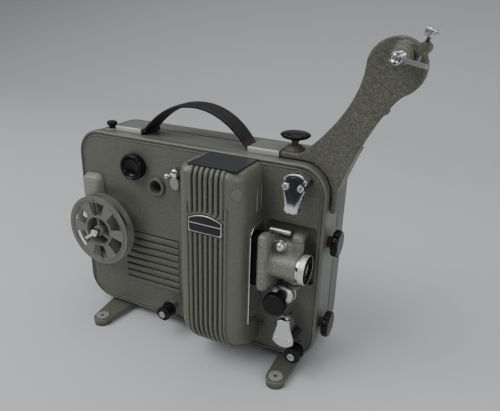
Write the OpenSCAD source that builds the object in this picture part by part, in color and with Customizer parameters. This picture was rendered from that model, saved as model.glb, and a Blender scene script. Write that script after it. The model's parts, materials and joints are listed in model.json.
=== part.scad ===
// Film projector for narrow film, built into an upright carrying case.
// X runs along the light beam, Y goes into the case, Z is up, and the feet stand on Z = 0.

/* [Case] */
// Width of the case
case_w = 272; // [266:1:284]
// Height of the case
case_h = 197; // [193:1:205]
// Depth of the case behind the panel
case_d = 72; // [71:1:84]
// Corner radius of the case outline
corner_r = 27; // [25:1:30]
// Wall thickness of the case
wall = 2.4; // [2:0.1:3]
// Depth of the front frame
frame_d = 8; // [7:0.5:9]
// Distance from the panel to the seam of the rear cover
seam_y = 40; // [39:1:43]
// Width of the front frame's rim
rim_w = 2.6; // [2.4:0.1:2.8]
// Height of the rim above the panel
rim_proud = 0.8; // [0.4:0.1:1.2]
// Rounding of the rim's outer edge
rim_r = 2.2; // [1:0.1:2.4]
// Rounding of the rear edge
rear_r = 9; // [6:0.5:9]
// Step from the front frame down to the middle band and the rear cover
band_inset = 0.4; // [0.2:0.1:0.6]

/* [Operating panel] */
// Thickness of the panel
panel_t = 3; // [2.5:0.1:3.5]
// Width of the groove round the panel
groove_w = 0.6; // [0.4:0.1:0.8]
// Number of louvre slots
louvre_n = 8; // [6:1:8]
// Distance between louvre slots
louvre_pitch = 8; // [7:0.2:8.4]
// Height of a louvre slot
louvre_gap = 2.2; // [1.6:0.1:2.6]
// Height of the lowest louvre slot above the case bottom
louvre_h = 37; // [34:0.5:40]
// Depth of the recess behind the lens
recess_d = 4.6; // [4.2:0.1:6]

/* [Lamp house] */
// Width of the lamp house
lamp_w = 61; // [58:1:62]
// Depth of the lamp house in front of the panel
lamp_d = 45; // [43:0.5:48]
// Distance from the case top down to the lamp house top
lamp_drop = 3; // [2:0.5:6]
// Height of the lamp house bottom above the case bottom
lamp_foot = 9; // [7:0.5:12]
// Number of cooling ribs
rib_n = 7; // [5:1:7]
// Distance between cooling ribs
rib_pitch = 5.1; // [4.8:0.1:5.2]
// Width of a cooling rib
rib_w = 3; // [2:0.1:3.4]
// Height of a cooling rib
rib_d = 2.2; // [1.5:0.1:2.6]

/* [Film path] */
// Distance from the right side of the case to the film plane
gate_inset = 57; // [56.6:0.1:57.4]
// Distance of the film's centre line from the panel
film_out = 16; // [15.6:0.1:17]
// Height of the lens axis above the case bottom
lens_h = 108; // [106:0.5:110]
// Distance from the case top down to the upper sprocket
upper_drop = 29; // [28:0.5:31]
// Height of the lower sprocket above the case bottom
lower_rise = 48; // [47:0.5:49]
// Radius of a sprocket drum
sprocket_r = 6.5; // [5.5:0.1:7]
// Thickness of a sprocket shoe plate
shoe_t = 2; // [1.5:0.1:2.5]
// Radius of a roller flange
roller_r = 8.2; // [7:0.1:8.6]
// Height of the rollers above the case bottom
roller_h = 18; // [16.5:0.5:20]

/* [Lens] */
// Diameter of the lens barrel
barrel_d = 20; // [18:0.5:20.5]
// Diameter of the focus ring
focus_d = 26.8; // [25:0.2:27.4]
// Diameter of the carrier's tube
tube_d = 25; // [24:0.5:25.5]
// Diameter of the lens carrier's hinge pins
hinge_d = 5; // [4:0.5:6]

/* [Reels and arm] */
// Diameter of the reel
reel_d = 76; // [70:1:77]
// Width of the reel
reel_w = 11.4; // [10.5:0.1:12]
// Diameter of the reel spindles
spindle_d = 7.8; // [7:0.1:8]
// Distance from the left side of the case to the take-up spindle
take_up_inset = 35.5; // [35:0.5:38]
// Height of the take-up spindle above the case bottom
take_up_h = 95.5; // [92:0.5:98]
// Depth of the feed arm at its saddle
arm_t = 26; // [24:0.5:28]
// Thickness of the feed arm above its saddle
head_t = 12; // [11:0.5:15]
// Thickness of the arm's saddle on the case corner
saddle_t = 5.6; // [5:0.1:7]
// Reach of the feed spindle beyond the right side of the case
feed_reach = 46; // [44:0.1:48]
// Rise of the feed spindle above the case top
feed_rise = 93.5; // [91:0.5:97]
// Radius of the arm's head
head_r = 22.6; // [21:0.2:24]

/* [Handle] */
// Length of a handle block
block_l = 31; // [29:0.5:31.4]
// Height of the handle blocks
block_h = 5.8; // [5:0.1:7]
// Width of the strap
strap_w = 24; // [20:0.5:25]
// Thickness of the strap
strap_t = 3.6; // [3:0.1:4.5]
// Height of the strap's arch above the case top
strap_rise = 35.5; // [31:0.5:38]

/* [Knobs] */
// Diameter of the star knob
star_d = 27; // [24:0.5:28]
// Thickness of the star knob
star_t = 5.8; // [5.2:0.1:7]
// Diameter of the side knobs
side_knob_d = 25.4; // [24:0.2:27]
// Thickness of the side knobs
side_knob_t = 6.8; // [6:0.1:8]
// Diameter of the switch knob
switch_d = 26.8; // [25:0.2:28.4]
// Diameter of the inching knob
inching_d = 22; // [20:0.2:23]
// Travel of the press button
button_travel = 2; // [1:0.5:2.5]

/* [Stand] */
// Height of the case bottom above the floor
stand_h = 11; // [10.5:0.1:13]
// Thickness of a leg
leg_t = 4.5; // [4:0.1:5]
// Width of a leg at its foot
leg_w = 19; // [18:0.2:20]
// Distance from a leg's pivot to its foot
leg_l = 49; // [46:0.5:52]
// Thickness of a leg's rubber foot below the leg
foot_t = 3.5; // [3.2:0.1:4]

/* [Clearances] */
// Radial running clearance of a shaft in its bore
running = 0.05; // [0.03:0.01:0.08]
// Gap between pieces that pass each other
gap = 0.4; // [0.3:0.05:0.5]

/* [Hidden] */

$fn = 64;
// Overlap that joins two solids of one piece, and the overshoot of cutters
fuse = 0.5;
cut = 1;

half_w = case_w / 2;
frame_back = rim_proud - frame_d;
ledge_w = 2;
paint = "#8b9083";
hammer = "#878b74";
chrome = "#d5d7d8";
black = "#1c1c1e";
steel = "#a8abad";

// Film path
gate_x = half_w - gate_inset;
sprocket_x = gate_x + 33.3;
upper_h = case_h - upper_drop;
tooth_r = sprocket_r + 0.9;
drum_w = 9;
shoe_out = film_out + drum_w / 2 + 1.4;
shoe_screw_dx = 6.8;
shoe_screw_rise = 15;
shoe_pin_r = 2;
shoe_foot = tooth_r + gap;
shoe_lip = 11;
pivot_x = gate_x + 37;
pivot_out = 9;
knuckle_r = 5.5;
upper_knuckle = 9;
lower_knuckle = 6;
knuckle_lug = 3.4;
carrier_x0 = gate_x + 7.6;
carrier_plate_t = 9.6;
carrier_low = 24;
carrier_high = 31;
bridge_front = 17.6;
tube_x1 = gate_x + 42;
focus_x0 = gate_x + 43.5;
focus_x1 = gate_x + 50.5;
recess_x0 = gate_x + 3;
recess_x1 = half_w - 6;
recess_r = 4;
knuckle_low = focus_d / 2 + 1;
recess_h0 = lens_h - knuckle_low - lower_knuckle - knuckle_lug;
recess_h1 = lens_h + 33;
hinge_h1 = lens_h + knuckle_low + upper_knuckle + knuckle_lug;
aperture_w = 4.9;
aperture_h = 3.6;
inching_x = gate_x + 24.4;
inching_h = lens_h - 37;
collar_r = 12;
collar_l = 11;
inching_shaft_r = 4;
inching_l = 18;
inching_neck = 9.5;
roller_w = 12;
roller_axle_r = 2;
left_roller_x = gate_x - 2.6 - lamp_w - 37.2;
right_roller_x = half_w - 14.1;

// Lamp house
lamp_x = gate_x - 2.6 - lamp_w / 2;
lamp_top = case_h - lamp_drop;
lamp_wall = 2;
lamp_toe_r = 36;
lamp_brow_r = 9;
lamp_shoulder_r = 16;
lamp_side_r = 8;
rib_mid_x = lamp_x - 1.8;
badge_w = 33;
badge_h = 17;
badge_mid_h = lens_h + 36.5;
top_plate_w = 47.6;
top_plate_t = 1.2;
bulb_x = lamp_x;
bulb_r = 11;
socket_r = 12.5;
mirror_x = lamp_x - 20;
condenser_x = lamp_x + 17;
condenser_r = 12;

// Shutter and drive
shutter_x = gate_x - 7;
shutter_t = 1.2;
shutter_out = -16;
shutter_r = film_out - shutter_out + 4;
shaft_r = 3;
pulley_x = shutter_x - 11;
pulley_w = 6;
shutter_pulley_r = 10;
motor_pulley_r = 8;
belt_t = 1.4;
motor_r = 23;
motor_l = 44;
motor_out = wall + motor_r + 2.6 - case_d;
motor_h = 50;
motor_x = pulley_x - pulley_w / 2 - 5 - motor_l / 2;
fan_r = 20;

// Take-up
take_up_x = take_up_inset - half_w;
housing_t = 8;
seat_out = film_out - reel_w / 2;
spindle_r = spindle_d / 2;
seat_r = 9;
feed_seat_r = 7;
latch_t = 2.8;
latch_w = 4.4;
latch_pin_r = 1;
spindle_tip = 7;
take_up_latch_l = 16;
take_up_latch_a = 215;
feed_latch_l = 20;
feed_latch_a = -12;

// Feed arm, in heights above the case bottom
arm_front = frame_back - gap - 1;
feed_x = half_w + feed_reach;
feed_h = case_h + feed_rise;
head_x = feed_x - 5.7;
head_h = feed_h - 10;
saddle_x0 = half_w - 48.5;
saddle_h0 = case_h - 43;
star_x = half_w - 39.6;
star_out = arm_front - 12.5;
star_stem_r = 3;
star_seat_t = 4;
star_lift = 6.5;
boss_r = 8.6;
boss_t = 4.6;
brake_x = feed_x + 12;
brake_h = feed_h + 2;
brake_r = 2;
brake_ear = 6;
brake_ear_r = 4.6;
brake_lean = 20;
brake_grip_r = 5.6;
brake_out = arm_front + brake_grip_r + 4 * gap;

// Handle, side knobs and button
button_x = 33.3 - half_w;
button_out = -14.5;
button_r = 5.2;
button_stem_r = 3;
block_x0 = button_x + 9.7;
block_x1 = saddle_x0 - 2 * gap;
handle_gap = block_x1 - block_x0 - 2 * block_l;
handle_x = (block_x0 + block_x1) / 2;
block_d = 30;
block_front = frame_back - 1;
strap_front = block_front - 2.5;
side_stem_r = 3.5;
side_stem_l = 4.2;
upper_knob_h = case_h - 75;
upper_knob_out = -20;
lower_knob_h = lower_rise - 9.5;
lower_knob_out = frame_back - 7.5;

// Panel controls
lever_x = lamp_x - lamp_w / 2 - 30;
lever_h = case_h - 28.5;
switch_x = lever_x - 49.2;
switch_h = case_h - 30;
socket_x = lever_x - 24.3;
socket_h = case_h - 47.5;
socket_r1 = 9.8;
socket_bore_r = 6.8;
socket_l = 16;
louvre_x0 = take_up_x + 17.5;
control_shaft_r = 3;

// Stand
leg_pivot_y = 18;
left_leg_x = 39.5 - half_w;
right_leg_x = half_w - 25;
left_root_r = 16;
right_root_r = 11.4;
leg_z0 = foot_t;
leg_top = leg_z0 + leg_t;
pivot_r = 4;
foot_stem_r = 4;
rear_foot_r = 9;
rear_foot_dx = half_w - 41;
rear_foot_y = seam_y + rear_foot_r + 4;

// The panel's own frame: x, height above the case bottom, distance out of the panel
module panel_frame() translate([0, 0, stand_h]) rotate([90, 0, 0]) children();
module along_x() rotate([0, 90, 0]) children();
module along_h() rotate([-90, 0, 0]) children();

// Rectangle with round corners, centred
module round_rect(w, h, r) {
    square([w - 2 * r, h], center = true);
    square([w, h - 2 * r], center = true);
    for (sx = [-1, 1], sy = [-1, 1])
        translate([sx * (w / 2 - r), sy * (h / 2 - r)]) circle(r);
}

// Bar with round ends between two points on the x axis
module slot_shape(x0, x1, w) {
    translate([x0, -w / 2]) square([x1 - x0, w]);
    translate([x0, 0]) circle(d = w);
    translate([x1, 0]) circle(d = w);
}

// Sweeps a wall section round the case outline; section x = 0 is the outer face
module around_case(inset = 0) {
    w = case_w - 2 * inset;
    h = case_h - 2 * inset;
    r = corner_r - inset;
    translate([0, case_h / 2, 0])
        for (side = [0 : 3]) {
            reach = side % 2 == 0 ? w / 2 : h / 2;
            run = side % 2 == 0 ? h - 2 * r : w - 2 * r;
            rotate(90 * side) {
                translate([reach, run / 2, 0]) rotate([90, 0, 0]) linear_extrude(run) children();
                translate([reach - r, run / 2, 0]) rotate_extrude(angle = 90) translate([r, 0]) children();
            }
        }
}

module case_outline(inset) translate([0, case_h / 2])
    round_rect(case_w - 2 * inset, case_h - 2 * inset, corner_r - inset);

// Disc with rounded rims, standing on z = 0
module soft_disc(r, t, e) rotate_extrude() {
    square([r - e, t]);
    translate([0, e]) square([r, t - 2 * e]);
    translate([r - e, e]) circle(e);
    translate([r - e, t - e]) circle(e);
}

// Fluted hand knob on its stem, standing on z = 0
module hand_knob(stem_r, stem_l, d, t, flutes, flute_r) {
    difference() {
        translate([0, 0, stem_l]) soft_disc(d / 2, t, 2.2);
        for (i = [0 : flutes - 1])
            rotate(i * 360 / flutes) translate([d / 2 + flute_r * 0.5, 0, stem_l - cut])
                cylinder(r = flute_r, h = t + 2 * cut);
    }
    cylinder(r = stem_r, h = stem_l + fuse);
}

// Case

module frame_section() {
    difference() {
        translate([-rim_w, frame_back]) square([rim_w, frame_d]);
        translate([-rim_r, rim_proud - rim_r]) difference() {
            square(rim_r + cut);
            circle(rim_r);
        }
    }
    translate([-rim_w - ledge_w, frame_back]) square([ledge_w + fuse, -panel_t - frame_back]);
}

module front_frame() {
    color(paint) panel_frame() around_case() frame_section();
}

module louvres() {
    for (i = [0 : louvre_n - 1])
        translate([louvre_x0, louvre_h + i * louvre_pitch - louvre_gap / 2, -panel_t - cut])
            cube([lever_x - louvre_x0, louvre_gap, panel_t + 2 * cut]);
}

module lens_recess(grow) {
    w = recess_x1 - recess_x0 + 2 * grow;
    h = recess_h1 - recess_h0 + 2 * grow;
    translate([(recess_x0 + recess_x1) / 2, (recess_h0 + recess_h1) / 2, -recess_d - grow])
        linear_extrude(recess_d + grow) round_rect(w, h, recess_r + grow);
}

// Bores through the panel: position and radius
function panel_bores() = [
    [take_up_x, take_up_h, spindle_r + running],
    [inching_x, inching_h, inching_shaft_r + running],
    [sprocket_x, upper_h, shaft_r + running],
    [sprocket_x, lower_rise, shaft_r + running],
    [switch_x, switch_h, control_shaft_r + running],
    [lever_x, lever_h, control_shaft_r + running],
    [left_roller_x, roller_h, roller_axle_r + running],
    [right_roller_x, roller_h, roller_axle_r + running],
    [socket_x, socket_h, socket_bore_r + 1.2 + running]
];

module hinge_lugs() {
    for (h = [recess_h0, hinge_h1 - knuckle_lug + gap / 2])
        translate([pivot_x, h, 0]) difference() {
            union() {
                translate([0, 0, pivot_out]) along_h() cylinder(r = knuckle_r, h = knuckle_lug - gap / 2);
                translate([-knuckle_r, 0, -recess_d - fuse])
                    cube([2 * knuckle_r, knuckle_lug - gap / 2, recess_d + fuse + pivot_out]);
            }
            translate([0, -cut, pivot_out]) along_h()
                cylinder(d = hinge_d + 2 * running, h = knuckle_lug + 2 * cut);
        }
}

module shutter_bearing() {
    bearing_t = 5;
    translate([gate_x - 4, lens_h, shutter_out]) difference() {
        translate([0, -8, -6]) cube([bearing_t, 16, -shutter_out - panel_t + 6 + fuse]);
        translate([-cut, 0, 0]) along_x() cylinder(r = shaft_r + running, h = bearing_t + 2 * cut);
    }
}

module shoe_pins() {
    for (h = [upper_h + shoe_screw_rise, lower_rise - shoe_screw_rise])
        translate([sprocket_x + shoe_screw_dx, h, -fuse]) cylinder(r = shoe_pin_r, h = shoe_out - gap + fuse);
}

module mechanism_plate() {
    color(paint) panel_frame() {
        difference() {
            union() {
                translate([0, 0, -panel_t]) linear_extrude(panel_t) case_outline(rim_w + groove_w);
                lens_recess(1);
            }
            translate([0, 0, cut]) lens_recess(0);
            lens_recess(0);
            louvres();
            for (bore = panel_bores())
                translate([bore[0], bore[1], -panel_t - cut]) cylinder(r = bore[2], h = panel_t + 2 * cut);
            translate([shutter_x - 2, lens_h - shutter_r, -panel_t - cut])
                cube([4, 2 * shutter_r, panel_t + 2 * cut]);
        }
        hinge_lugs();
        shutter_bearing();
        shoe_pins();
    }
}

module band_section() translate([-wall, -seam_y]) square([wall, seam_y + frame_back]);

module case_band() {
    color("#9a9c98") panel_frame() difference() {
        union() {
            around_case(band_inset) band_section();
            translate([button_x, case_h - band_inset - fuse, button_out]) along_h()
                cylinder(r = 6.6, h = 1.5 + fuse);
        }
        translate([button_x, case_h - 2 * wall, button_out]) along_h()
            cylinder(r = button_stem_r + running, h = 3 * wall);
        translate([star_x, case_h - 2 * wall, star_out]) along_h()
            cylinder(r = star_stem_r + gap, h = 3 * wall);
        translate([half_w - 2 * wall, upper_knob_h, upper_knob_out]) along_x()
            cylinder(r = side_stem_r + running, h = 3 * wall);
        translate([half_w - 2 * wall, lower_knob_h, lower_knob_out]) along_x()
            cylinder(r = side_stem_r + running, h = 3 * wall);
        for (x = [left_leg_x, right_leg_x])
            translate([x, -wall, -leg_pivot_y]) along_h() cylinder(r = pivot_r + running, h = 3 * wall);
    }
}

module rear_section() {
    difference() {
        translate([-rear_r, -case_d]) square([rear_r, case_d - seam_y]);
        translate([-rear_r, -case_d]) difference() {
            translate([0, -cut]) square([rear_r + cut, rear_r + cut]);
            translate([0, rear_r]) circle(rear_r);
        }
        translate([-rear_r - cut, rear_r - case_d]) square([rear_r - wall + cut, case_d]);
        translate([-rear_r, rear_r - case_d]) circle(rear_r - wall);
    }
}

cover_screw_dx = half_w - corner_r;
cover_screw_dh = case_h / 2 - corner_r;
vent_n = 6;
inlet_x = 66 - half_w;
inlet_h = 34;
inlet_w = 30;
inlet_t = 20;

module rear_cover() {
    color(paint) panel_frame() difference() {
        union() {
            around_case(band_inset) rear_section();
            translate([0, 0, -case_d]) linear_extrude(wall) case_outline(band_inset + rear_r);
            for (sx = [-1, 1], sy = [-1, 1])
                translate([sx * cover_screw_dx, case_h / 2 + sy * cover_screw_dh, -case_d + wall - fuse])
                    cylinder(r = 5, h = case_d - seam_y - wall + fuse);
        }
        for (sx = [-1, 1], sy = [-1, 1])
            translate([sx * cover_screw_dx, case_h / 2 + sy * cover_screw_dh, -case_d - cut])
                cylinder(r = 2 + running, h = case_d - seam_y + 2 * cut);
        for (i = [0 : vent_n - 1])
            translate([12, lens_h - 20 + i * 8, -case_d - cut]) cube([60, 3, wall + 2 * cut]);
        translate([inlet_x - inlet_w / 2, inlet_h - inlet_t / 2, -case_d - cut])
            cube([inlet_w, inlet_t, wall + 2 * cut]);
    }
}

module cover_screws() {
    color(steel) panel_frame() for (sx = [-1, 1], sy = [-1, 1])
        translate([sx * cover_screw_dx, case_h / 2 + sy * cover_screw_dh, -case_d]) {
            cylinder(r = 2, h = 20);
            difference() {
                translate([0, 0, -1.6]) cylinder(r = 4, h = 1.6);
                translate([-5, -0.5, -1.6 - cut]) cube([10, 1, cut + 0.8]);
            }
        }
}

module mains_inlet() {
    lip = 3;
    lip_t = 1.5;
    depth = 14;
    color(black) panel_frame() translate([inlet_x, inlet_h, -case_d]) {
        difference() {
            union() {
                translate([-inlet_w / 2 + running, -inlet_t / 2 + running, 0])
                    cube([inlet_w - 2 * running, inlet_t - 2 * running, depth]);
                translate([-inlet_w / 2 - lip, -inlet_t / 2 - lip, -lip_t])
                    cube([inlet_w + 2 * lip, inlet_t + 2 * lip, lip_t]);
            }
            translate([-inlet_w / 2 + lip, -inlet_t / 2 + lip, -lip_t - cut])
                cube([inlet_w - 2 * lip, inlet_t - 2 * lip, depth - lip + lip_t + cut]);
        }
        for (side = [-1, 1]) translate([side * inlet_w / 4, 0, 0]) cylinder(r = 2, h = depth - lip + fuse);
    }
}

module rear_feet() {
    color(black) for (sx = [-1, 1])
        translate([sx * rear_foot_dx, rear_foot_y, 0])
            cylinder(r = rear_foot_r, h = stand_h + band_inset);
}

// Handle

module handle_block(x) {
    panel_frame() translate([x, case_h - band_inset, block_front]) rotate([0, 90, 0])
        linear_extrude(block_l) difference() {
            square([block_d, block_h + band_inset]);
            translate([0, block_h + band_inset - 1]) difference() {
                translate([-cut, 0]) square([1 + cut, 1 + cut]);
                translate([1, 0]) circle(1);
            }
        }
}
module left_handle_block() { color(chrome) handle_block(handle_x - handle_gap / 2 - block_l); }
module right_handle_block() { color(chrome) handle_block(handle_x + handle_gap / 2); }

module carrying_strap() {
    half = handle_gap / 2;
    rise = strap_rise - strap_t / 2;
    arch_r = (half * half + rise * rise) / (2 * rise);
    color("#232124") panel_frame() intersection() {
        translate([handle_x, case_h + rise - arch_r, strap_front - strap_w]) difference() {
            cylinder(r = arch_r + strap_t / 2, h = strap_w, $fn = 128);
            translate([0, 0, -cut]) cylinder(r = arch_r - strap_t / 2, h = strap_w + 2 * cut, $fn = 128);
        }
        translate([handle_x - half, case_h - band_inset, -case_d]) cube([handle_gap, case_h, case_d]);
    }
}

// Lamp house

module lamp_side(grow) {
    d = lamp_d + grow;
    h0 = lamp_foot - grow;
    h1 = lamp_top + grow;
    toe = lamp_toe_r + grow;
    brow = lamp_brow_r + grow;
    base = grow < 0 ? -cut : 0;
    difference() {
        translate([base, h0]) square([d - base, h1 - h0]);
        translate([d - toe, h0 - cut]) difference() {
            square([toe + cut, toe + cut]);
            translate([0, toe + cut]) circle(toe);
        }
        translate([d - brow, h1 - brow]) difference() {
            square([brow + cut, brow + cut]);
            circle(brow);
        }
    }
}

module lamp_plan(grow) {
    w = lamp_w + 2 * grow;
    d = lamp_d + grow;
    r = lamp_shoulder_r + grow;
    s = lamp_side_r + grow;
    base = grow < 0 ? -cut : 0;
    difference() {
        translate([-w / 2, base]) square([w, d - base]);
        translate([w / 2 - r, d - r]) difference() {
            square(r + cut);
            circle(r);
        }
        translate([-w / 2 - cut, d - s]) difference() {
            square(s + cut);
            translate([s + cut, 0]) circle(s);
        }
    }
}

// Extrudes a side view, drawn as distance out and height, across the width
module across(w) translate([w / 2, 0, 0]) rotate([0, -90, 0]) linear_extrude(w) children();

module lamp_form(grow) {
    intersection() {
        across(lamp_w + 2 * grow) lamp_side(grow);
        rotate([-90, 0, 0]) mirror([0, 1, 0]) linear_extrude(2 * case_h) lamp_plan(grow);
    }
}

module lamp_ribs() {
    difference() {
        for (i = [0 : rib_n - 1])
            translate([rib_mid_x - lamp_x + (i - (rib_n - 1) / 2) * rib_pitch, 0, 0])
                across(rib_w) difference() {
                    lamp_side(rib_d);
                    translate([-2 * cut, 0]) square([lamp_d - lamp_toe_r + 2 * cut, case_h]);
                    translate([0, lamp_top - fuse]) square([2 * lamp_d, lamp_drop + fuse + rib_d]);
                    translate([0, badge_mid_h - badge_h / 2 - 1]) square([2 * lamp_d, badge_h + 2]);
                }
        lamp_form(-fuse);
    }
}

module lamp_house_cover() {
    color(hammer) panel_frame() translate([lamp_x, 0, 0]) {
        difference() {
            lamp_form(0);
            lamp_form(-lamp_wall);
            translate([lamp_w / 2 - 3 * lamp_wall, lens_h - 6, film_out - 7]) cube([4 * lamp_wall, 12, 14]);
        }
        lamp_ribs();
    }
}

module lamp_house_top() {
    color("#3f434c") panel_frame()
        translate([lamp_x + 25 - top_plate_w, lamp_top, rim_proud + gap])
            cube([top_plate_w, top_plate_t, lamp_d - lamp_brow_r + 3]);
}

module badge_plate() {
    arch_r = badge_w;
    color(black) panel_frame() translate([rib_mid_x, badge_mid_h, lamp_d]) linear_extrude(rib_d + 0.4)
        intersection() {
            square([badge_w, badge_h], center = true);
            translate([0, badge_h / 2 - arch_r]) circle(arch_r);
        }
}

module lamp_bulb() {
    tube = 46;
    color([0.9, 0.95, 1, 0.5]) panel_frame() translate([bulb_x, lens_h - 28, film_out + 2]) {
        along_h() cylinder(r = bulb_r, h = tube);
        translate([0, tube, 0]) sphere(bulb_r);
    }
}

module lamp_socket() {
    height = 24;
    color(steel) panel_frame() {
        translate([bulb_x, lens_h - 28 - height, film_out + 2]) {
            along_h() cylinder(r = socket_r, h = height);
            translate([-5, 4, -film_out - 2]) cube([10, 12, film_out + 2]);
        }
        translate([condenser_x - 2, lens_h - 5, 0]) difference() {
            cube([4, 10, film_out - condenser_r + 3]);
            translate([-cut, 5, film_out]) along_x() cylinder(r = condenser_r, h = 4 + 2 * cut);
        }
    }
}

module lamp_reflector() {
    dish = 22;
    color(chrome) panel_frame() translate([mirror_x, lens_h, film_out]) {
        intersection() {
            translate([dish, 0, 0]) difference() {
                sphere(dish);
                sphere(dish - 1.2);
            }
            along_x() cylinder(r = 14, h = dish / 2);
        }
        translate([2, -3, -film_out]) cube([2, 6, 5]);
    }
}

module condenser_lens() {
    color([0.9, 0.95, 1, 0.5]) panel_frame() translate([condenser_x - 3, lens_h, film_out])
        along_x() soft_disc(condenser_r, 6, 2.4);
}

// Film path

module aperture_plate() {
    plate_t = 2;
    foot = 27;
    color(chrome) panel_frame() difference() {
        translate([gate_x - plate_t, lens_h - 68, 0]) cube([plate_t, 99, foot]);
        translate([gate_x - plate_t - cut, lens_h - aperture_h / 2, film_out - aperture_w / 2])
            cube([plate_t + 2 * cut, aperture_h, aperture_w]);
    }
}

module pressure_plate() {
    color(steel) panel_frame() translate([gate_x + gap, lens_h, film_out]) difference() {
        translate([0, -carrier_low, -8]) cube([carrier_x0 - gate_x - gap, carrier_low + 24, 16]);
        translate([-cut, -aperture_h / 2 - 1, -aperture_w / 2 - 1])
            cube([carrier_x0 - gate_x + 2 * cut, aperture_h + 2, aperture_w + 2]);
    }
}

module carrier_knuckles(grow, over) {
    for (side = [-1, 1]) {
        height = side > 0 ? upper_knuckle : lower_knuckle;
        base = side > 0 ? knuckle_low : -knuckle_low - height;
        translate([pivot_x, lens_h + base - over, pivot_out]) along_h()
            cylinder(r = grow, h = height + 2 * over);
    }
}

module lens_carrier() {
    plate_w = film_out + tube_d / 2 - 0.5;
    web = 8;
    color(hammer) panel_frame() difference() {
        union() {
            translate([carrier_x0, lens_h - carrier_low, 5])
                cube([carrier_plate_t, carrier_low + carrier_high, plate_w]);
            translate([carrier_x0, lens_h, film_out]) along_x()
                cylinder(d = tube_d, h = tube_x1 - carrier_x0);
            translate([carrier_x0, lens_h, 5]) {
                cube([pivot_x - carrier_x0 - knuckle_r + 1.5, 22, bridge_front - 5]);
                cube([pivot_x - carrier_x0 - knuckle_r - 0.9, 25.6, bridge_front - 5]);
            }
            carrier_knuckles(knuckle_r, 0);
            for (base = [knuckle_low + 1.5 - web, 1 - tube_d / 2 - web])
                translate([pivot_x - 9, lens_h + base, pivot_out - 3])
                    cube([9, web, film_out - pivot_out + 3]);
        }
        translate([carrier_x0 - cut, lens_h, film_out]) along_x()
            cylinder(d = barrel_d + 2 * running, h = tube_x1 - carrier_x0 + 2 * cut);
        carrier_knuckles(hinge_d / 2 + running, cut);
    }
}

module carrier_hinge_pins() {
    color(steel) panel_frame() {
        translate([pivot_x, recess_h0 + cut, pivot_out]) along_h()
            cylinder(d = hinge_d, h = knuckle_lug + lower_knuckle - 2 * cut);
        translate([pivot_x, hinge_h1 - knuckle_lug - upper_knuckle + 2 * cut, pivot_out]) along_h()
            cylinder(d = hinge_d, h = knuckle_lug + upper_knuckle - 3 * cut);
    }
}

module carrier_knob() {
    color(chrome) panel_frame() translate([gate_x + 24.6, lens_h + 18.8, bridge_front]) {
        soft_disc(5, 6.4, 2.4);
        translate([0, 0, -1]) cylinder(r = 3.6, h = 1 + fuse);
    }
}

module carrier_rod() {
    color(chrome) panel_frame() translate([carrier_x0 + carrier_plate_t, lens_h + 28.3, pivot_out + 4])
        along_x() cylinder(r = 2.6, h = pivot_x - knuckle_r - carrier_x0 - carrier_plate_t - gap);
}

module lens_barrel() {
    color(black) panel_frame() translate([carrier_x0 + carrier_plate_t - 3, lens_h, film_out])
        along_x() difference() {
        cylinder(d = barrel_d, h = focus_x1 - carrier_x0 - carrier_plate_t + 3);
        translate([0, 0, -cut]) cylinder(d = barrel_d - 6, h = focus_x1 - gate_x);
    }
}

module lens_glasses() {
    color([0.75, 0.85, 1, 0.5]) panel_frame() for (x = [carrier_x0 + carrier_plate_t, focus_x1 - 4])
        translate([x, lens_h, film_out]) along_x() cylinder(d = barrel_d - 6, h = 3);
}

module focus_ring() {
    color(chrome) panel_frame() translate([focus_x0, lens_h, film_out]) along_x() difference() {
        soft_disc(focus_d / 2, focus_x1 - focus_x0, 0.8);
        translate([0, 0, -cut]) cylinder(d = barrel_d + 2 * running, h = focus_x1 - focus_x0 + 2 * cut);
    }
}

module sprocket(h) {
    teeth = 12;
    color(steel) panel_frame() translate([sprocket_x, h, film_out - drum_w / 2]) {
        cylinder(r = sprocket_r, h = drum_w);
        for (i = [0 : teeth - 1])
            rotate(i * 360 / teeth) translate([sprocket_r - fuse, -0.5, 1])
                cube([tooth_r - sprocket_r + fuse, 1, 1.2]);
        translate([0, 0, -film_out - 12]) cylinder(r = shaft_r, h = film_out + 12 + fuse);
    }
}
module upper_sprocket() { sprocket(upper_h); }
module lower_sprocket() { sprocket(lower_rise); }

// Shoe plate seen from the front, with its wide end at the screws and its foot at the sprocket
module shoe_shape(rise, inset = 0) {
    head = shoe_screw_dx + 3.6 - inset;
    foot = shoe_lip / 2 + 0.5 - inset;
    crown = 14 - inset;
    top = shoe_screw_rise + rise - inset;
    intersection() {
        translate([0, top - crown]) circle(crown);
        translate([-head, shoe_screw_rise - fuse]) square([2 * head, top]);
    }
    polygon([[-foot, -shoe_foot - 1], [foot, -shoe_foot - 1], [foot, 0], [head, shoe_screw_rise],
             [-head, shoe_screw_rise], [-foot, 0]]);
}

module shoe(rise) {
    skirt = 9;
    skirt_t = 1.2;
    translate([0, 0, shoe_out]) linear_extrude(shoe_t) shoe_shape(rise);
    translate([0, 0, shoe_out - skirt]) linear_extrude(skirt + fuse) intersection() {
        difference() {
            shoe_shape(rise);
            shoe_shape(rise, skirt_t);
        }
        union() {
            translate([-2 * shoe_out, shoe_screw_rise + skirt_t]) square([4 * shoe_out, shoe_out]);
            translate([tooth_r, tooth_r]) square(shoe_out);
        }
    }
    translate([-shoe_lip / 2, -shoe_foot - 1, film_out - drum_w / 2])
        cube([shoe_lip, 1, shoe_out - film_out + drum_w / 2 + fuse]);
    translate([shoe_screw_dx, shoe_screw_rise, gap]) difference() {
        cylinder(r = 2 * shoe_pin_r, h = shoe_out - gap + fuse);
        translate([0, 0, -cut]) cylinder(r = shoe_pin_r + running, h = shoe_out - gap + cut);
    }
}
module upper_shoe() {
    color(chrome) panel_frame() translate([sprocket_x, upper_h, 0]) shoe(10.5);
}
module lower_shoe() {
    color(chrome) panel_frame() translate([sprocket_x, lower_rise, 0]) mirror([0, 1, 0]) shoe(7.5);
}

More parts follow.
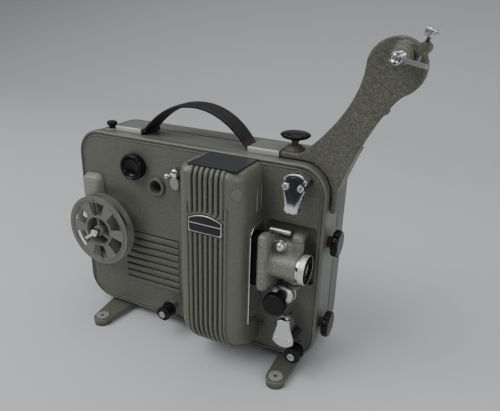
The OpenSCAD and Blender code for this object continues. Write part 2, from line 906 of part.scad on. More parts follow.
module inching_collar() {
    color(chrome) panel_frame() translate([inching_x, inching_h, 0]) difference() {
        soft_disc(collar_r, collar_l, 3);
        translate([0, 0, -cut]) cylinder(r = inching_shaft_r + running, h = collar_l + 2 * cut);
    }
}

module inching_knob() {
    color(black) panel_frame() translate([inching_x, inching_h, collar_l + gap]) {
        translate([0, 0, inching_neck]) soft_disc(inching_d / 2, inching_l - inching_neck, 2);
        cylinder(r = inching_d / 4, h = inching_neck + fuse);
        translate([0, 0, -collar_l - 25]) cylinder(r = inching_shaft_r, h = collar_l + 25 + fuse);
    }
}

module roller(x) {
    flange = 1.6;
    bore = roller_axle_r + running;
    color(black) panel_frame() translate([x, roller_h, film_out - roller_w / 2]) rotate_extrude() {
        translate([bore, 0]) square([roller_r - bore, flange]);
        translate([bore, 0]) square([5.4 - bore, roller_w]);
        translate([bore, roller_w - flange]) square([roller_r - bore - 0.6, flange]);
    }
}
module left_roller() { roller(left_roller_x); }
module right_roller() { roller(right_roller_x); }

module roller_axles() {
    tip = film_out + roller_w / 2 + gap;
    color(chrome) panel_frame() for (x = [left_roller_x, right_roller_x])
        translate([x, roller_h, 0]) {
            translate([0, 0, -panel_t]) cylinder(r = roller_axle_r, h = tip + panel_t + fuse);
            cylinder(r = 4, h = film_out - roller_w / 2 - gap);
            difference() {
                translate([0, 0, tip]) cylinder(r = 3.6, h = 1.8);
                translate([-4, -0.5, tip + 0.8]) cube([8, 1, 2]);
            }
        }
}

// Panel controls

module switch_knob() {
    depth = 9;
    color(black) panel_frame() translate([switch_x, switch_h, gap]) {
        difference() {
            soft_disc(switch_d / 2, depth, 2);
            translate([0, 0, depth + 22]) sphere(25, $fn = 96);
        }
        translate([0, 0, -panel_t - 8]) cylinder(r = control_shaft_r, h = panel_t + 8 + fuse);
    }
}

module panel_socket() {
    color(hammer) panel_frame() translate([socket_x, socket_h, 0]) difference() {
        union() {
            soft_disc(socket_r1, 2.6, 1);
            translate([0, 0, -socket_l]) cylinder(r = socket_bore_r + 1.2, h = socket_l + fuse);
        }
        translate([0, 0, 1.5 - socket_l]) cylinder(r = socket_bore_r, h = socket_l + 5);
    }
}

module lamp_lever() {
    color(chrome) panel_frame() translate([lever_x, lever_h, gap]) {
        soft_disc(4.6, 7, 2);
        translate([0, 0, -panel_t - 6]) cylinder(r = control_shaft_r, h = panel_t + 6 + fuse);
        translate([0, -12, 3]) rotate([0, 0, 90]) linear_extrude(2.6) slot_shape(-3, 6, 10);
        rotate(205) translate([0, 0, 4.5]) along_x() cylinder(r = 1.5, h = 9.5);
        rotate(205) translate([9.5, 0, 4.5]) sphere(2.8);
    }
}

// Reels

// Spindle nose with a slot for the latch; z = 0 is where the reel seats
module spindle_nose() {
    difference() {
        cylinder(r = spindle_r, h = reel_w + spindle_tip);
        translate([-spindle_r - cut, -latch_t / 2 - running, reel_w])
            cube([2 * spindle_r + 2 * cut, latch_t + 2 * running, spindle_tip + cut]);
    }
    translate([0, spindle_r - fuse, reel_w + spindle_tip / 2]) rotate([90, 0, 0])
        cylinder(r = latch_pin_r, h = 2 * spindle_r - 2 * fuse);
}

module latch(length) {
    translate([0, latch_t / 2, reel_w + spindle_tip / 2]) rotate([90, 0, 0])
        linear_extrude(latch_t) difference() {
        slot_shape(0, length, latch_w - 1);
        circle(latch_pin_r + running);
    }
}

module take_up_housing() {
    height = 114;
    width = 25;
    color(hammer) panel_frame() difference() {
        linear_extrude(housing_t) {
            translate([take_up_x - 16.5, take_up_h - 1.5]) rotate(2) round_rect(width, height, 9);
            translate([take_up_x, take_up_h]) circle(17);
        }
        translate([take_up_x, take_up_h, -cut]) cylinder(r = spindle_r + running, h = housing_t + 2 * cut);
    }
}

module take_up_spindle() {
    color(chrome) panel_frame() translate([take_up_x, take_up_h, seat_out]) rotate(take_up_latch_a) {
        spindle_nose();
        translate([0, 0, housing_t + gap - seat_out]) cylinder(r = seat_r, h = seat_out - housing_t - gap);
        translate([0, 0, -seat_out - 16]) cylinder(r = spindle_r, h = seat_out + 16 + fuse);
        translate([0, 0, -seat_out - 14]) cylinder(r = 15, h = 6);
    }
}

module take_up_latch() {
    color(chrome) panel_frame() translate([take_up_x, take_up_h, seat_out]) rotate(take_up_latch_a)
        latch(take_up_latch_l);
}

module reel_windows() {
    windows = 6;
    inner = 17.5;
    outer = 31.4;
    for (i = [0 : windows - 1])
        rotate(i * 360 / windows + 12) rotate_extrude(angle = 36) translate([inner, -cut])
            square([outer - inner, reel_w + 2 * cut]);
}

module take_up_reel() {
    flange = 1.4;
    hub_r = 16;
    bore_r = spindle_r + running;
    color("#bcbdb6") panel_frame() translate([take_up_x, take_up_h, seat_out]) {
        difference() {
            rotate_extrude() {
                translate([bore_r, 0]) square([reel_d / 2 - bore_r, flange]);
                translate([hub_r - 1.6, 0]) square([1.6, reel_w]);
                translate([bore_r, 0]) square([1.8, reel_w]);
                translate([hub_r - 1.6, reel_w - flange]) square([reel_d / 2 - hub_r + 1.6, flange]);
            }
            reel_windows();
        }
        for (i = [0 : 2])
            rotate(90 + i * 120) translate([bore_r + 1, -1, 0]) cube([hub_r - bore_r - 2, 2, reel_w - 1]);
    }
}

// Feed arm

function bezier(a, b, c, d, n) = [for (i = [0 : n]) let (t = i / n, u = 1 - t)
    u * u * u * a + 3 * u * u * t * b + 3 * u * t * t * c + t * t * t * d];

module arm_shape() {
    s = saddle_t;
    top = case_h + s;
    side = half_w + s;
    head = [head_x, head_h];
    left = bezier([half_w - 32, top - 1], [half_w - 4, case_h + 28],
        head + [-24, -26], head + [-head_r, -1], 14);
    right = bezier(head + [9, -20.7], head + [-4, -30], [half_w + 18, case_h + 18], [side, case_h - 22], 14);
    difference() {
        translate([0, case_h / 2]) round_rect(case_w + 2 * s, case_h + 2 * s, corner_r + s);
        translate([0, case_h / 2]) round_rect(case_w + 2 * gap, case_h + 2 * gap, corner_r + gap);
        translate([-case_w, -case_h]) square([case_w + saddle_x0, 3 * case_h]);
        translate([-case_w, -case_h]) square([2 * case_w, case_h + saddle_h0]);
    }
    difference() {
        polygon(concat(left, right, [[half_w - corner_r / 2, case_h - corner_r / 2]]));
        translate([0, case_h / 2]) round_rect(case_w + 2 * gap, case_h + 2 * gap, corner_r + gap);
    }
    translate(head) circle(head_r);
}

module feed_arm() {
    color(hammer) panel_frame() difference() {
        union() {
            translate([0, 0, arm_front - arm_t]) linear_extrude(arm_t) arm_shape();
            translate([feed_x, feed_h, arm_front - fuse]) cylinder(r = boss_r, h = boss_t + fuse);
            translate([brake_x + 1, brake_h + 3, arm_front - head_t])
                cylinder(r = brake_ear_r, h = brake_out - arm_front + brake_ear / 2 + head_t);
            translate([star_x, case_h + saddle_t - fuse, star_out]) along_h()
                cylinder(r = 8.5, h = star_seat_t / 2 + fuse);
            translate([star_x, case_h + saddle_t, star_out]) along_h() cylinder(r = 6.5, h = star_seat_t);
        }
        translate([0, case_h + 14, arm_front - arm_t - cut])
            cube([2 * half_w, feed_rise + 2 * head_r, arm_t - head_t + cut]);
        translate([feed_x, feed_h, arm_front - head_t - cut])
            cylinder(r = shaft_r + running, h = head_t + boss_t + 2 * cut);
        translate([brake_x, brake_h, brake_out]) rotate(-brake_lean) translate([0, -12, 0]) along_h()
            cylinder(r = brake_r + running, h = 28);
        translate([star_x, case_h - cut, star_out]) along_h()
            cylinder(r = star_stem_r + running, h = saddle_t + star_seat_t + 2 * cut);
    }
}

module feed_spindle() {
    color(chrome) panel_frame() translate([feed_x, feed_h, seat_out]) rotate(feed_latch_a) {
        spindle_nose();
        start = arm_front + boss_t + gap;
        translate([0, 0, start - seat_out]) cylinder(r = feed_seat_r, h = 3);
        translate([0, 0, start - seat_out]) cylinder(r = spindle_r, h = seat_out - start + fuse);
        translate([0, 0, -2.4]) cylinder(r = 8.8, h = 2.4);
        translate([0, 0, arm_front - head_t + 2 - seat_out])
            cylinder(r = shaft_r, h = start - arm_front + head_t - 2 + fuse);
    }
}

module feed_latch() {
    color(chrome) panel_frame() translate([feed_x, feed_h, seat_out]) rotate(feed_latch_a)
        latch(feed_latch_l);
}

module brake_screw() {
    grip = 6;
    color(chrome) panel_frame() translate([brake_x, brake_h, brake_out]) rotate(-brake_lean) along_h() {
        translate([0, 0, -6]) cylinder(r = brake_r, h = brake_ear + 18);
        translate([0, 0, brake_ear + 10]) soft_disc(brake_grip_r, grip, 0.8);
    }
}

module star_knob() {
    stem = saddle_t + star_seat_t + star_lift;
    color(black) panel_frame() translate([star_x, case_h, star_out]) along_h() {
        translate([0, 0, -8]) cylinder(r = star_stem_r, h = 8 + fuse);
        hand_knob(star_stem_r, stem, star_d, star_t, 10, 2.2);
    }
}

module side_knob(h, out) {
    color(black) panel_frame() translate([half_w - band_inset, h, out]) along_x() {
        translate([0, 0, -wall - 8]) cylinder(r = side_stem_r, h = wall + 8 + fuse);
        translate([0, 0, gap]) cylinder(r = side_stem_r + 2, h = side_stem_l - gap + fuse);
        hand_knob(side_stem_r, side_stem_l, side_knob_d, side_knob_t, 6, 3.6);
    }
}
module upper_side_knob() { side_knob(upper_knob_h, upper_knob_out); }
module lower_side_knob() { side_knob(lower_knob_h, lower_knob_out); }

module top_button() {
    lift = 1.5 + button_travel + gap;
    color(black) panel_frame() translate([button_x, case_h - band_inset, button_out]) along_h() {
        translate([0, 0, lift]) soft_disc(button_r, 4.6, 1.2);
        translate([0, 0, -wall - 10]) cylinder(r = button_stem_r, h = lift + wall + 10 + fuse);
    }
}

// Stand

// Flat bar with round ends of two sizes
module tapered_bar(length, r0, r1) {
    lean = asin((r0 - r1) / length);
    circle(r0);
    translate([length, 0]) circle(r1);
    polygon([[r0 * sin(lean), r0 * cos(lean)], [length + r1 * sin(lean), r1 * cos(lean)],
        [length + r1 * sin(lean), -r1 * cos(lean)], [r0 * sin(lean), -r0 * cos(lean)]]);
}

module leg(x, root_r) {
    color(hammer) translate([x, leg_pivot_y, leg_z0]) difference() {
        rotate(-90) linear_extrude(leg_t) tapered_bar(leg_l, root_r, leg_w / 2);
        translate([0, 0, -cut]) cylinder(r = pivot_r + running, h = leg_t + 2 * cut);
        translate([0, -leg_l, -cut]) cylinder(r = foot_stem_r + running, h = leg_t + 2 * cut);
    }
}
module left_leg() { leg(left_leg_x, left_root_r); }
module right_leg() { leg(right_leg_x, right_root_r); }

module foot(x) {
    color("#5d5f59") translate([x, leg_pivot_y - leg_l, 0]) difference() {
        union() {
            cylinder(r = leg_w / 2 - 0.6, h = foot_t);
            cylinder(r = foot_stem_r, h = leg_top + 1);
            translate([0, 0, leg_top]) cylinder(r = 6.9, h = 1);
        }
        translate([0, 0, leg_top - 2]) cylinder(r = 1.8, h = 4);
    }
}
module left_foot() { foot(left_leg_x); }
module right_foot() { foot(right_leg_x); }

module leg_pivots() {
    head_t = foot_t - 1.6;
    color(steel) for (x = [left_leg_x, right_leg_x])
        translate([x, leg_pivot_y, 0]) {
            translate([0, 0, leg_z0 - gap / 2 - head_t]) cylinder(r = 7, h = head_t);
            translate([0, 0, leg_z0 - gap]) cylinder(r = pivot_r, h = stand_h - leg_z0 + wall + 4);
            translate([0, 0, leg_top + gap / 2])
                cylinder(r = 9, h = stand_h + band_inset - leg_top - gap / 2);
        }
}

// Drive inside the case

module motor_body() {
    floor_h = wall + band_inset;
    color(steel) panel_frame() translate([motor_x, motor_h, motor_out]) difference() {
        union() {
            translate([-motor_l / 2, 0, 0]) along_x() cylinder(r = motor_r, h = motor_l);
            translate([-14, floor_h - motor_h, -seam_y - motor_out + 1]) cube([28, motor_h - floor_h, 14]);
        }
        translate([-motor_l / 2 - cut, 0, 0]) along_x()
            cylinder(r = shaft_r + running, h = motor_l + 2 * cut);
    }
}

module motor_rotor() {
    fan_t = 6;
    x0 = motor_x - motor_l / 2 - fan_t - 3;
    color(steel) panel_frame() translate([x0, motor_h, motor_out]) along_x() {
        cylinder(r = shaft_r, h = pulley_x + pulley_w / 2 - x0);
        cylinder(r = fan_r, h = fan_t);
        translate([0, 0, pulley_x - pulley_w / 2 - x0]) cylinder(r = motor_pulley_r, h = pulley_w);
    }
}

module shutter_disc() {
    blades = 2;
    color(black) panel_frame() translate([shutter_x, lens_h, shutter_out]) along_x() {
        difference() {
            cylinder(r = shutter_r, h = shutter_t);
            for (i = [0 : blades - 1])
                rotate(i * 360 / blades - 40) rotate_extrude(angle = 80) translate([14, -cut])
                    square([shutter_r, shutter_t + 2 * cut]);
        }
        translate([0, 0, pulley_x - pulley_w / 2 - shutter_x]) cylinder(r = shutter_pulley_r, h = pulley_w);
        translate([0, 0, pulley_x - pulley_w / 2 - shutter_x])
            cylinder(r = shaft_r, h = gate_x + 1 - pulley_x + pulley_w / 2);
    }
}

module belt_loop(grow) {
    hull() {
        translate([-motor_out, motor_h]) circle(motor_pulley_r + grow, $fn = 48);
        translate([-shutter_out, lens_h]) circle(shutter_pulley_r + grow, $fn = 48);
    }
}

module drive_belt() {
    color(black) panel_frame() translate([pulley_x - pulley_w / 2 + 1, 0, 0]) rotate([0, 90, 0])
        linear_extrude(pulley_w - 2) difference() {
            belt_loop(gap + belt_t);
            belt_loop(gap);
        }
}

module transformer() {
    floor_h = wall + band_inset;
    core_w = 46;
    core_h = 50;
    core_d = seam_y - 10;
    coil = 8;
    color("#6b5a3f") panel_frame() translate([left_leg_x + 2 * pivot_r, floor_h, 1 - seam_y]) {
        cube([core_w, core_h, core_d]);
        translate([coil, coil, -1.5 * coil])
            cube([core_w - 2 * coil, core_h - 2 * coil, core_d + 1.5 * coil]);
    }
}

front_frame();
mechanism_plate();
case_band();
rear_cover();
cover_screws();
left_handle_block();
right_handle_block();
carrying_strap();
lamp_house_cover();
lamp_house_top();
badge_plate();
lamp_bulb();
lamp_socket();
lamp_reflector();
condenser_lens();
aperture_plate();
carrier_hinge_pins();
inching_collar();
roller_axles();
panel_socket();
take_up_housing();
rear_feet();
mains_inlet();
motor_body();
transformer();
leg_pivots();
lens_carrier();
pressure_plate();
carrier_knob();
carrier_rod();
lens_barrel();
lens_glasses();
focus_ring();
upper_sprocket();
lower_sprocket();
upper_shoe();
lower_shoe();
inching_knob();
left_roller();
right_roller();
switch_knob();
lamp_lever();
take_up_spindle();
take_up_latch();
take_up_reel();
feed_arm();
feed_spindle();
feed_latch();
brake_screw();
star_knob();
upper_side_knob();
lower_side_knob();
top_button();
left_leg();
right_leg();
left_foot();
right_foot();
motor_rotor();
shutter_disc();
drive_belt();
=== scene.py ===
import json
import math
import bpy
import bmesh
from mathutils import Matrix, Vector


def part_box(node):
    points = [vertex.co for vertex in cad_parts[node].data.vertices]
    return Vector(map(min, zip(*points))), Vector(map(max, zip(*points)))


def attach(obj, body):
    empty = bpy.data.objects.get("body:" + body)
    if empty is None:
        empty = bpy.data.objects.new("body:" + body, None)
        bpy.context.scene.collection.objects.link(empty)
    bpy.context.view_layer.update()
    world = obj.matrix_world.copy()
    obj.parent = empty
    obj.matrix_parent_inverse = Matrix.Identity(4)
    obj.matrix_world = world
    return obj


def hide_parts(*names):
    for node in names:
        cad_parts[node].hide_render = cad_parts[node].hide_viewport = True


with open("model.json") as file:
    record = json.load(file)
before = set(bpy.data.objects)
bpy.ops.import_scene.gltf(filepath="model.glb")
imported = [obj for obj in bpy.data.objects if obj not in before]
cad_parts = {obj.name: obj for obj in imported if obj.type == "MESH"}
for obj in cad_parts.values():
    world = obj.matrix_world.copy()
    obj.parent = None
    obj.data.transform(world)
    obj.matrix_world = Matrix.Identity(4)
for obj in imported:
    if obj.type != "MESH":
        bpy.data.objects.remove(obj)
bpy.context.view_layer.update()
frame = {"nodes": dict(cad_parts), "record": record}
nodes = frame["nodes"]
scene = bpy.context.scene
print("frame loaded:", len(nodes), "nodes")

mm = 0.001
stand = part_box("front_frame")[0].z / mm  # the case bottom above the table
forward, upward, beam = (0, -1, 0), (0, 0, 1), (1, 0, 0)  # out of the panel, up, along the light


def at(x, h, out):  # across the panel, above the case bottom, out of the panel, in mm
    return Vector((x, -out, h + stand)) * mm


class Reach:  # where a solid lies, in the same three directions
    def __init__(self, node):
        low, high = (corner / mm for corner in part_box(node))
        self.x0, self.x1, self.x = low.x, high.x, (low.x + high.x) / 2
        self.h0, self.h1, self.h = low.z - stand, high.z - stand, (low.z + high.z) / 2 - stand
        self.out0, self.out1, self.out = -high.y, -low.y, -(low.y + high.y) / 2
        self.half = (high.x - low.x) / 2


case = Reach("front_frame")
caseCorner = 27.0


# camera

viewpoint = {"place": (246.72, -385.24, 334.27), "azimuth": 25.345, "elevation": 22.112, "roll": 1.787,
             "lens": 36.24}


def placeCamera():
    az, el, roll = (math.radians(viewpoint[k]) for k in ("azimuth", "elevation", "roll"))
    back = Vector((math.sin(az) * math.cos(el), -math.cos(az) * math.cos(el), math.sin(el)))
    right = Vector((math.cos(az), math.sin(az), 0))
    up = back.cross(right)
    across = math.cos(roll) * right + math.sin(roll) * up
    upright = math.cos(roll) * up - math.sin(roll) * right
    pose = Matrix((across, upright, back)).transposed().to_4x4()
    pose.translation = Vector(viewpoint["place"]) * mm
    camera = bpy.data.cameras.new("camera")
    camera.lens = viewpoint["lens"]
    camera.sensor_width = 36
    camera.clip_start = 0.01
    holder = bpy.data.objects.new("camera", camera)
    holder.matrix_world = pose
    scene.collection.objects.link(holder)
    scene.camera = holder


placeCamera()
print("camera placed")


# node wiring, for finishes and for patterns

class Wire:  # a socket that takes part in sums
    def __init__(self, bench, socket):
        self.bench = bench
        self.socket = socket

    def sum(self, operation, a, b=0.0):
        return self.bench.node("ShaderNodeMath", {"operation": operation}, {0: a, 1: b})

    def __add__(self, other):
        return self.sum("ADD", self, other)

    def __radd__(self, other):
        return self.sum("ADD", other, self)

    def __sub__(self, other):
        return self.sum("SUBTRACT", self, other)

    def __rsub__(self, other):
        return self.sum("SUBTRACT", other, self)

    def __mul__(self, other):
        return self.sum("MULTIPLY", self, other)

    def __rmul__(self, other):
        return self.sum("MULTIPLY", other, self)

    def __truediv__(self, other):
        return self.sum("DIVIDE", self, other)

    def atLeast(self, low):
        return self.sum("MAXIMUM", self, low)

    def atMost(self, high):
        return self.sum("MINIMUM", self, high)

    def root(self):
        return self.sum("SQRT", self.atLeast(0.0))


class Bench:  # makes nodes in one tree
    def node(self, kind, settings=None, sockets=None, out=0):
        made = self.tree.nodes.new(kind if "Node" in kind else self.family + kind)
        for key, value in (settings or {}).items():
            if key == "stops":
                ramp = made.color_ramp
                while len(ramp.elements) < len(value):
                    ramp.elements.new(0.5)
                for element, (place, colour) in zip(ramp.elements, value):
                    element.position = place
                    element.color = (*colour, 1)
            else:
                setattr(made, key, value)
        for key, value in (sockets or {}).items():
            self.feed(made.inputs[key], value)
        return Wire(self, made.outputs[out])

    def feed(self, socket, value):
        if isinstance(value, Wire):
            self.tree.links.new(value.socket, socket)
        elif isinstance(value, tuple) and socket.type == "RGBA":
            socket.default_value = (*value, 1)
        else:
            socket.default_value = value

    def axis(self, place, which):
        return self.node("ShaderNodeSeparateXYZ", None, {0: place}, out="XYZ".index(which))


class Finish(Bench):
    family = "ShaderNode"

    def __init__(self, name):
        self.material = bpy.data.materials.new(name)
        self.material.use_nodes = True
        self.tree = self.material.node_tree
        self.shader = next(n for n in self.tree.nodes if n.type == "BSDF_PRINCIPLED")

    def spot(self, stretch=(1, 1, 1)):
        place = self.node("TexCoord", out=3)
        if stretch == (1, 1, 1):
            return place
        return self.node("Mapping", sockets={"Vector": place, "Scale": stretch})

    def noise(self, scale, detail=2.0, rough=0.5, stretch=(1, 1, 1), bend=0.0):
        return self.node("TexNoise", None, {
            "Vector": self.spot(stretch), "Scale": scale, "Detail": detail, "Roughness": rough,
            "Distortion": bend})

    def cells(self, scale, feature="F1"):
        return self.node("TexVoronoi", {"feature": feature}, {"Vector": self.spot(), "Scale": scale})

    def ramp(self, value, stops):
        return self.node("ValToRGB", {"stops": stops}, {0: value})

    def clip(self, value, low, high):
        return self.node("MapRange", {"clamp": True}, {0: value, 1: low, 2: high, 3: 0.0, 4: 1.0})

    def blend(self, amount, first, second):
        return self.node("Mix", {"data_type": "RGBA"}, {0: amount, 6: first, 7: second}, out=2)

    def past(self, which, limit, soft=0.0004):  # 0 before a plane and 1 past it, in metres
        return self.clip(self.axis(self.spot(), which), limit - soft, limit + soft)

    def edges(self, radius):  # near 1 where the surface turns a corner
        soft = self.node("Bevel", {"samples": 4}, {"Radius": radius})
        true = self.node("NewGeometry", out=1)
        return 1 - self.node("VectorMath", {"operation": "DOT_PRODUCT"}, {0: soft, 1: true}, out=1)

    def relief(self, height, strength, depth, soften=0.0):
        sockets = {"Height": height, "Strength": strength, "Distance": depth}
        if soften:
            sockets["Normal"] = self.node("Bevel", {"samples": 4}, {"Radius": soften})
        return self.node("Bump", None, sockets)

    def set(self, **values):
        for key, value in values.items():
            self.feed(self.shader.inputs[key.replace("_", " ")], value)
        return self.material


class Pattern(Bench):  # a geometry tree with named inputs
    family = "GeometryNode"
    kinds = {int: "NodeSocketInt", float: "NodeSocketFloat", tuple: "NodeSocketVector"}

    def __init__(self, name, inputs):
        self.tree = bpy.data.node_groups.new(name, "GeometryNodeTree")
        face = self.tree.interface
        face.new_socket("Geometry", in_out="OUTPUT", socket_type="NodeSocketGeometry")
        face.new_socket("Geometry", in_out="INPUT", socket_type="NodeSocketGeometry")
        self.keys = {}
        for label, value in inputs.items():
            socket = face.new_socket(label, in_out="INPUT", socket_type=self.kinds[type(value)])
            socket.default_value = value
            self.keys[label] = socket.identifier
        socket = face.new_socket("Finish", in_out="INPUT", socket_type="NodeSocketMaterial")
        self.keys["Finish"] = socket.identifier
        self.entry = self.tree.nodes.new("NodeGroupInput")
        self.exit = self.tree.nodes.new("NodeGroupOutput")

    def given(self, label):
        return Wire(self, self.entry.outputs[label])

    def vector(self, x, y, z):
        return self.node("ShaderNodeCombineXYZ", None, {0: x, 1: y, 2: z})

    def close(self, geometry):
        whole = self.node("RealizeInstances", None, {0: geometry})
        dressed = self.node("SetMaterial", None, {"Geometry": whole, "Material": self.given("Finish")})
        self.tree.links.new(dressed.socket, self.exit.inputs[0])
        return self

    def add(self, name, finish, body, values, points=(), facing=forward, sharp=38):
        seed = bpy.data.meshes.new(name)
        seed.from_pydata([tuple(p) for p in points], [], [])
        layer = seed.attributes.new("facing", "FLOAT_VECTOR", "POINT")
        for item in layer.data:
            item.vector = facing
        holder = bpy.data.objects.new(name, seed)
        scene.collection.objects.link(holder)
        modifier = holder.modifiers.new("pattern", "NODES")
        modifier.node_group = self.tree
        for label, value in {**values, "Finish": finishes[finish]}.items():
            modifier[self.keys[label]] = value
        keep(solidOf(holder), name, finish, body, (), sharp)


# finishes

def darker(colour, by):
    return tuple(min(1.0, c * by) for c in colour)


def hammertone(name, colours, grain, contrast=1.0, dent=0.3, wear=0.0):  # colours run dark to light
    finish = Finish(name)
    blotch = finish.noise(1 / grain, 3.0, 0.6, bend=0.6)
    fleck = finish.cells(0.75 / grain)
    fine = finish.noise(4 / grain, 2.0)
    cloud = finish.noise(22, 3.0)
    pattern = 0.5 + ((blotch - 0.5) * 1.5 + (fleck - 0.45) * 0.35 + (fine - 0.5) * 0.4) * contrast
    paint = finish.ramp(pattern, [(0.22, colours[0]), (0.5, colours[1]), (0.78, colours[2])])
    grime = finish.clip(cloud, 0.35, 0.75)
    paint = finish.blend(grime * 0.22, paint, darker(colours[1], 0.66))
    metal = 0.12
    if wear:
        rub = finish.edges(0.0009) * 3 + finish.noise(210, 4.0, 0.65) - 0.5
        rub = finish.clip(rub, 0.42, 0.7) * wear
        paint = finish.blend(rub, paint, (0.46, 0.46, 0.42))
        metal = 0.12 + rub * 0.5
    dimple = blotch * 0.7 + fleck * 0.5 + fine * 0.15
    return finish.set(
        Base_Color=paint, Roughness=0.36 + fine * 0.14 + grime * 0.12, Metallic=metal,
        Normal=finish.relief(dimple, dent, grain * 0.22, 0.0007), Coat_Weight=0.16, Coat_Roughness=0.24)


def smoothEnamel(name, colour, rough=0.34, shine=0.5):
    finish = Finish(name)
    cloud = finish.noise(30, 4.0, 0.6)
    peel = finish.noise(900, 2.0)
    scuff = finish.clip(finish.noise(160, 5.0, 0.7, (0.25, 1, 1)), 0.63, 0.8)
    paint = finish.blend(cloud, darker(colour, 0.82), darker(colour, 1.12))
    paint = finish.blend(scuff * 0.35, paint, darker(colour, 0.55))
    return finish.set(
        Base_Color=paint, Roughness=rough + cloud * 0.12 + scuff * 0.2, Coat_Weight=0.12 * shine,
        Normal=finish.relief(peel + scuff * 2, 0.12, 0.0003, 0.0007), Specular_IOR_Level=shine)


def plating(name, colour, rough, brush=None):  # chrome, or turned metal where brush gives the lay
    finish = Finish(name)
    haze = finish.noise(70, 4.0, 0.6)
    pits = finish.clip(finish.noise(1400, 3.0, 0.6), 0.66, 0.78)
    lines = finish.noise(500, 3.0, 0.6, brush) if brush else finish.noise(2600, 2.0)
    metal = finish.blend(haze * 0.5 + pits * 0.35, colour, darker(colour, 0.68))
    return finish.set(
        Base_Color=metal, Metallic=1.0,
        Roughness=rough + haze * 0.08 + lines * (0.16 if brush else 0.03) + pits * 0.2,
        Normal=finish.relief(lines + pits * 0.6, 0.10 if brush else 0.03, 0.0002, 0.0005))


def bakelite(name, colour, rough=0.14, stem=None):  # stem: the axis and place of a brown stem's end
    finish = Finish(name)
    swirl = finish.noise(120, 4.0, 0.6, bend=1.2)
    scratch = finish.clip(finish.noise(300, 4.0, 0.7, (0.2, 1, 1)), 0.6, 0.75)
    dust = finish.clip(finish.noise(55, 4.0, 0.6), 0.5, 0.8)
    body = finish.blend(swirl, darker(colour, 0.7), darker(colour, 1.5))
    body = finish.blend(dust * 0.12 + scratch * 0.1, body, (0.07, 0.068, 0.062))
    if stem:
        tarnish = finish.blend(dust, (0.17, 0.115, 0.06), (0.08, 0.06, 0.04))
        body = finish.blend(finish.past(stem[0], stem[1] * mm), tarnish, body)
    return finish.set(
        Base_Color=body, Roughness=rough + dust * 0.14 + scratch * 0.12,
        Normal=finish.relief(swirl + scratch, 0.08, 0.0003, 0.0008), Specular_IOR_Level=0.22)


def strapLeather(name, brownFrom):
    finish = Finish(name)
    grain = finish.cells(900, "SMOOTH_F1")
    crease = finish.noise(140, 4.0, 0.6, (1, 0.25, 1))
    worn = finish.clip(finish.noise(60, 3.0), 0.45, 0.75)
    bare = finish.clip(finish.axis(finish.spot(), "X"), brownFrom * mm, (brownFrom + 9) * mm)
    edge = finish.clip(finish.edges(0.0012) * 2 + worn * 0.3, 0.25, 0.7)
    tone = finish.ramp(worn, [(0.0, (0.007, 0.007, 0.008)), (1.0, (0.019, 0.018, 0.019))])
    tone = finish.blend(edge * 0.3, tone, (0.04, 0.034, 0.03))
    tone = finish.blend(bare * 0.9, tone, (0.13, 0.048, 0.018))
    return finish.set(
        Base_Color=tone, Roughness=0.48 + worn * 0.14 + grain * 0.1, Specular_IOR_Level=0.35,
        Normal=finish.relief(grain * 0.6 + crease, 0.35, 0.0005))


def softRubber(name, colour, washer=None):  # washer gives the height where a pale metal washer starts
    finish = Finish(name)
    speck = finish.noise(1200, 3.0)
    cloud = finish.noise(60, 3.0)
    body = finish.blend(cloud, darker(colour, 0.75), darker(colour, 1.35))
    if washer:
        pale = finish.blend(cloud, (0.20, 0.205, 0.175), (0.29, 0.29, 0.25))
        body = finish.blend(finish.past("Z", washer * mm), body, pale)
    return finish.set(
        Base_Color=body, Roughness=0.6 + speck * 0.2, Normal=finish.relief(speck, 0.15, 0.0003, 0.0006))


def opticGlass(name, tint):
    finish = Finish(name)
    film = finish.noise(90, 3.0)
    return finish.set(
        Base_Color=finish.blend(film, tint, darker(tint, 0.8)), Roughness=0.03 + film * 0.03,
        IOR=1.52, Transmission_Weight=0.85, Coat_Weight=0.3)


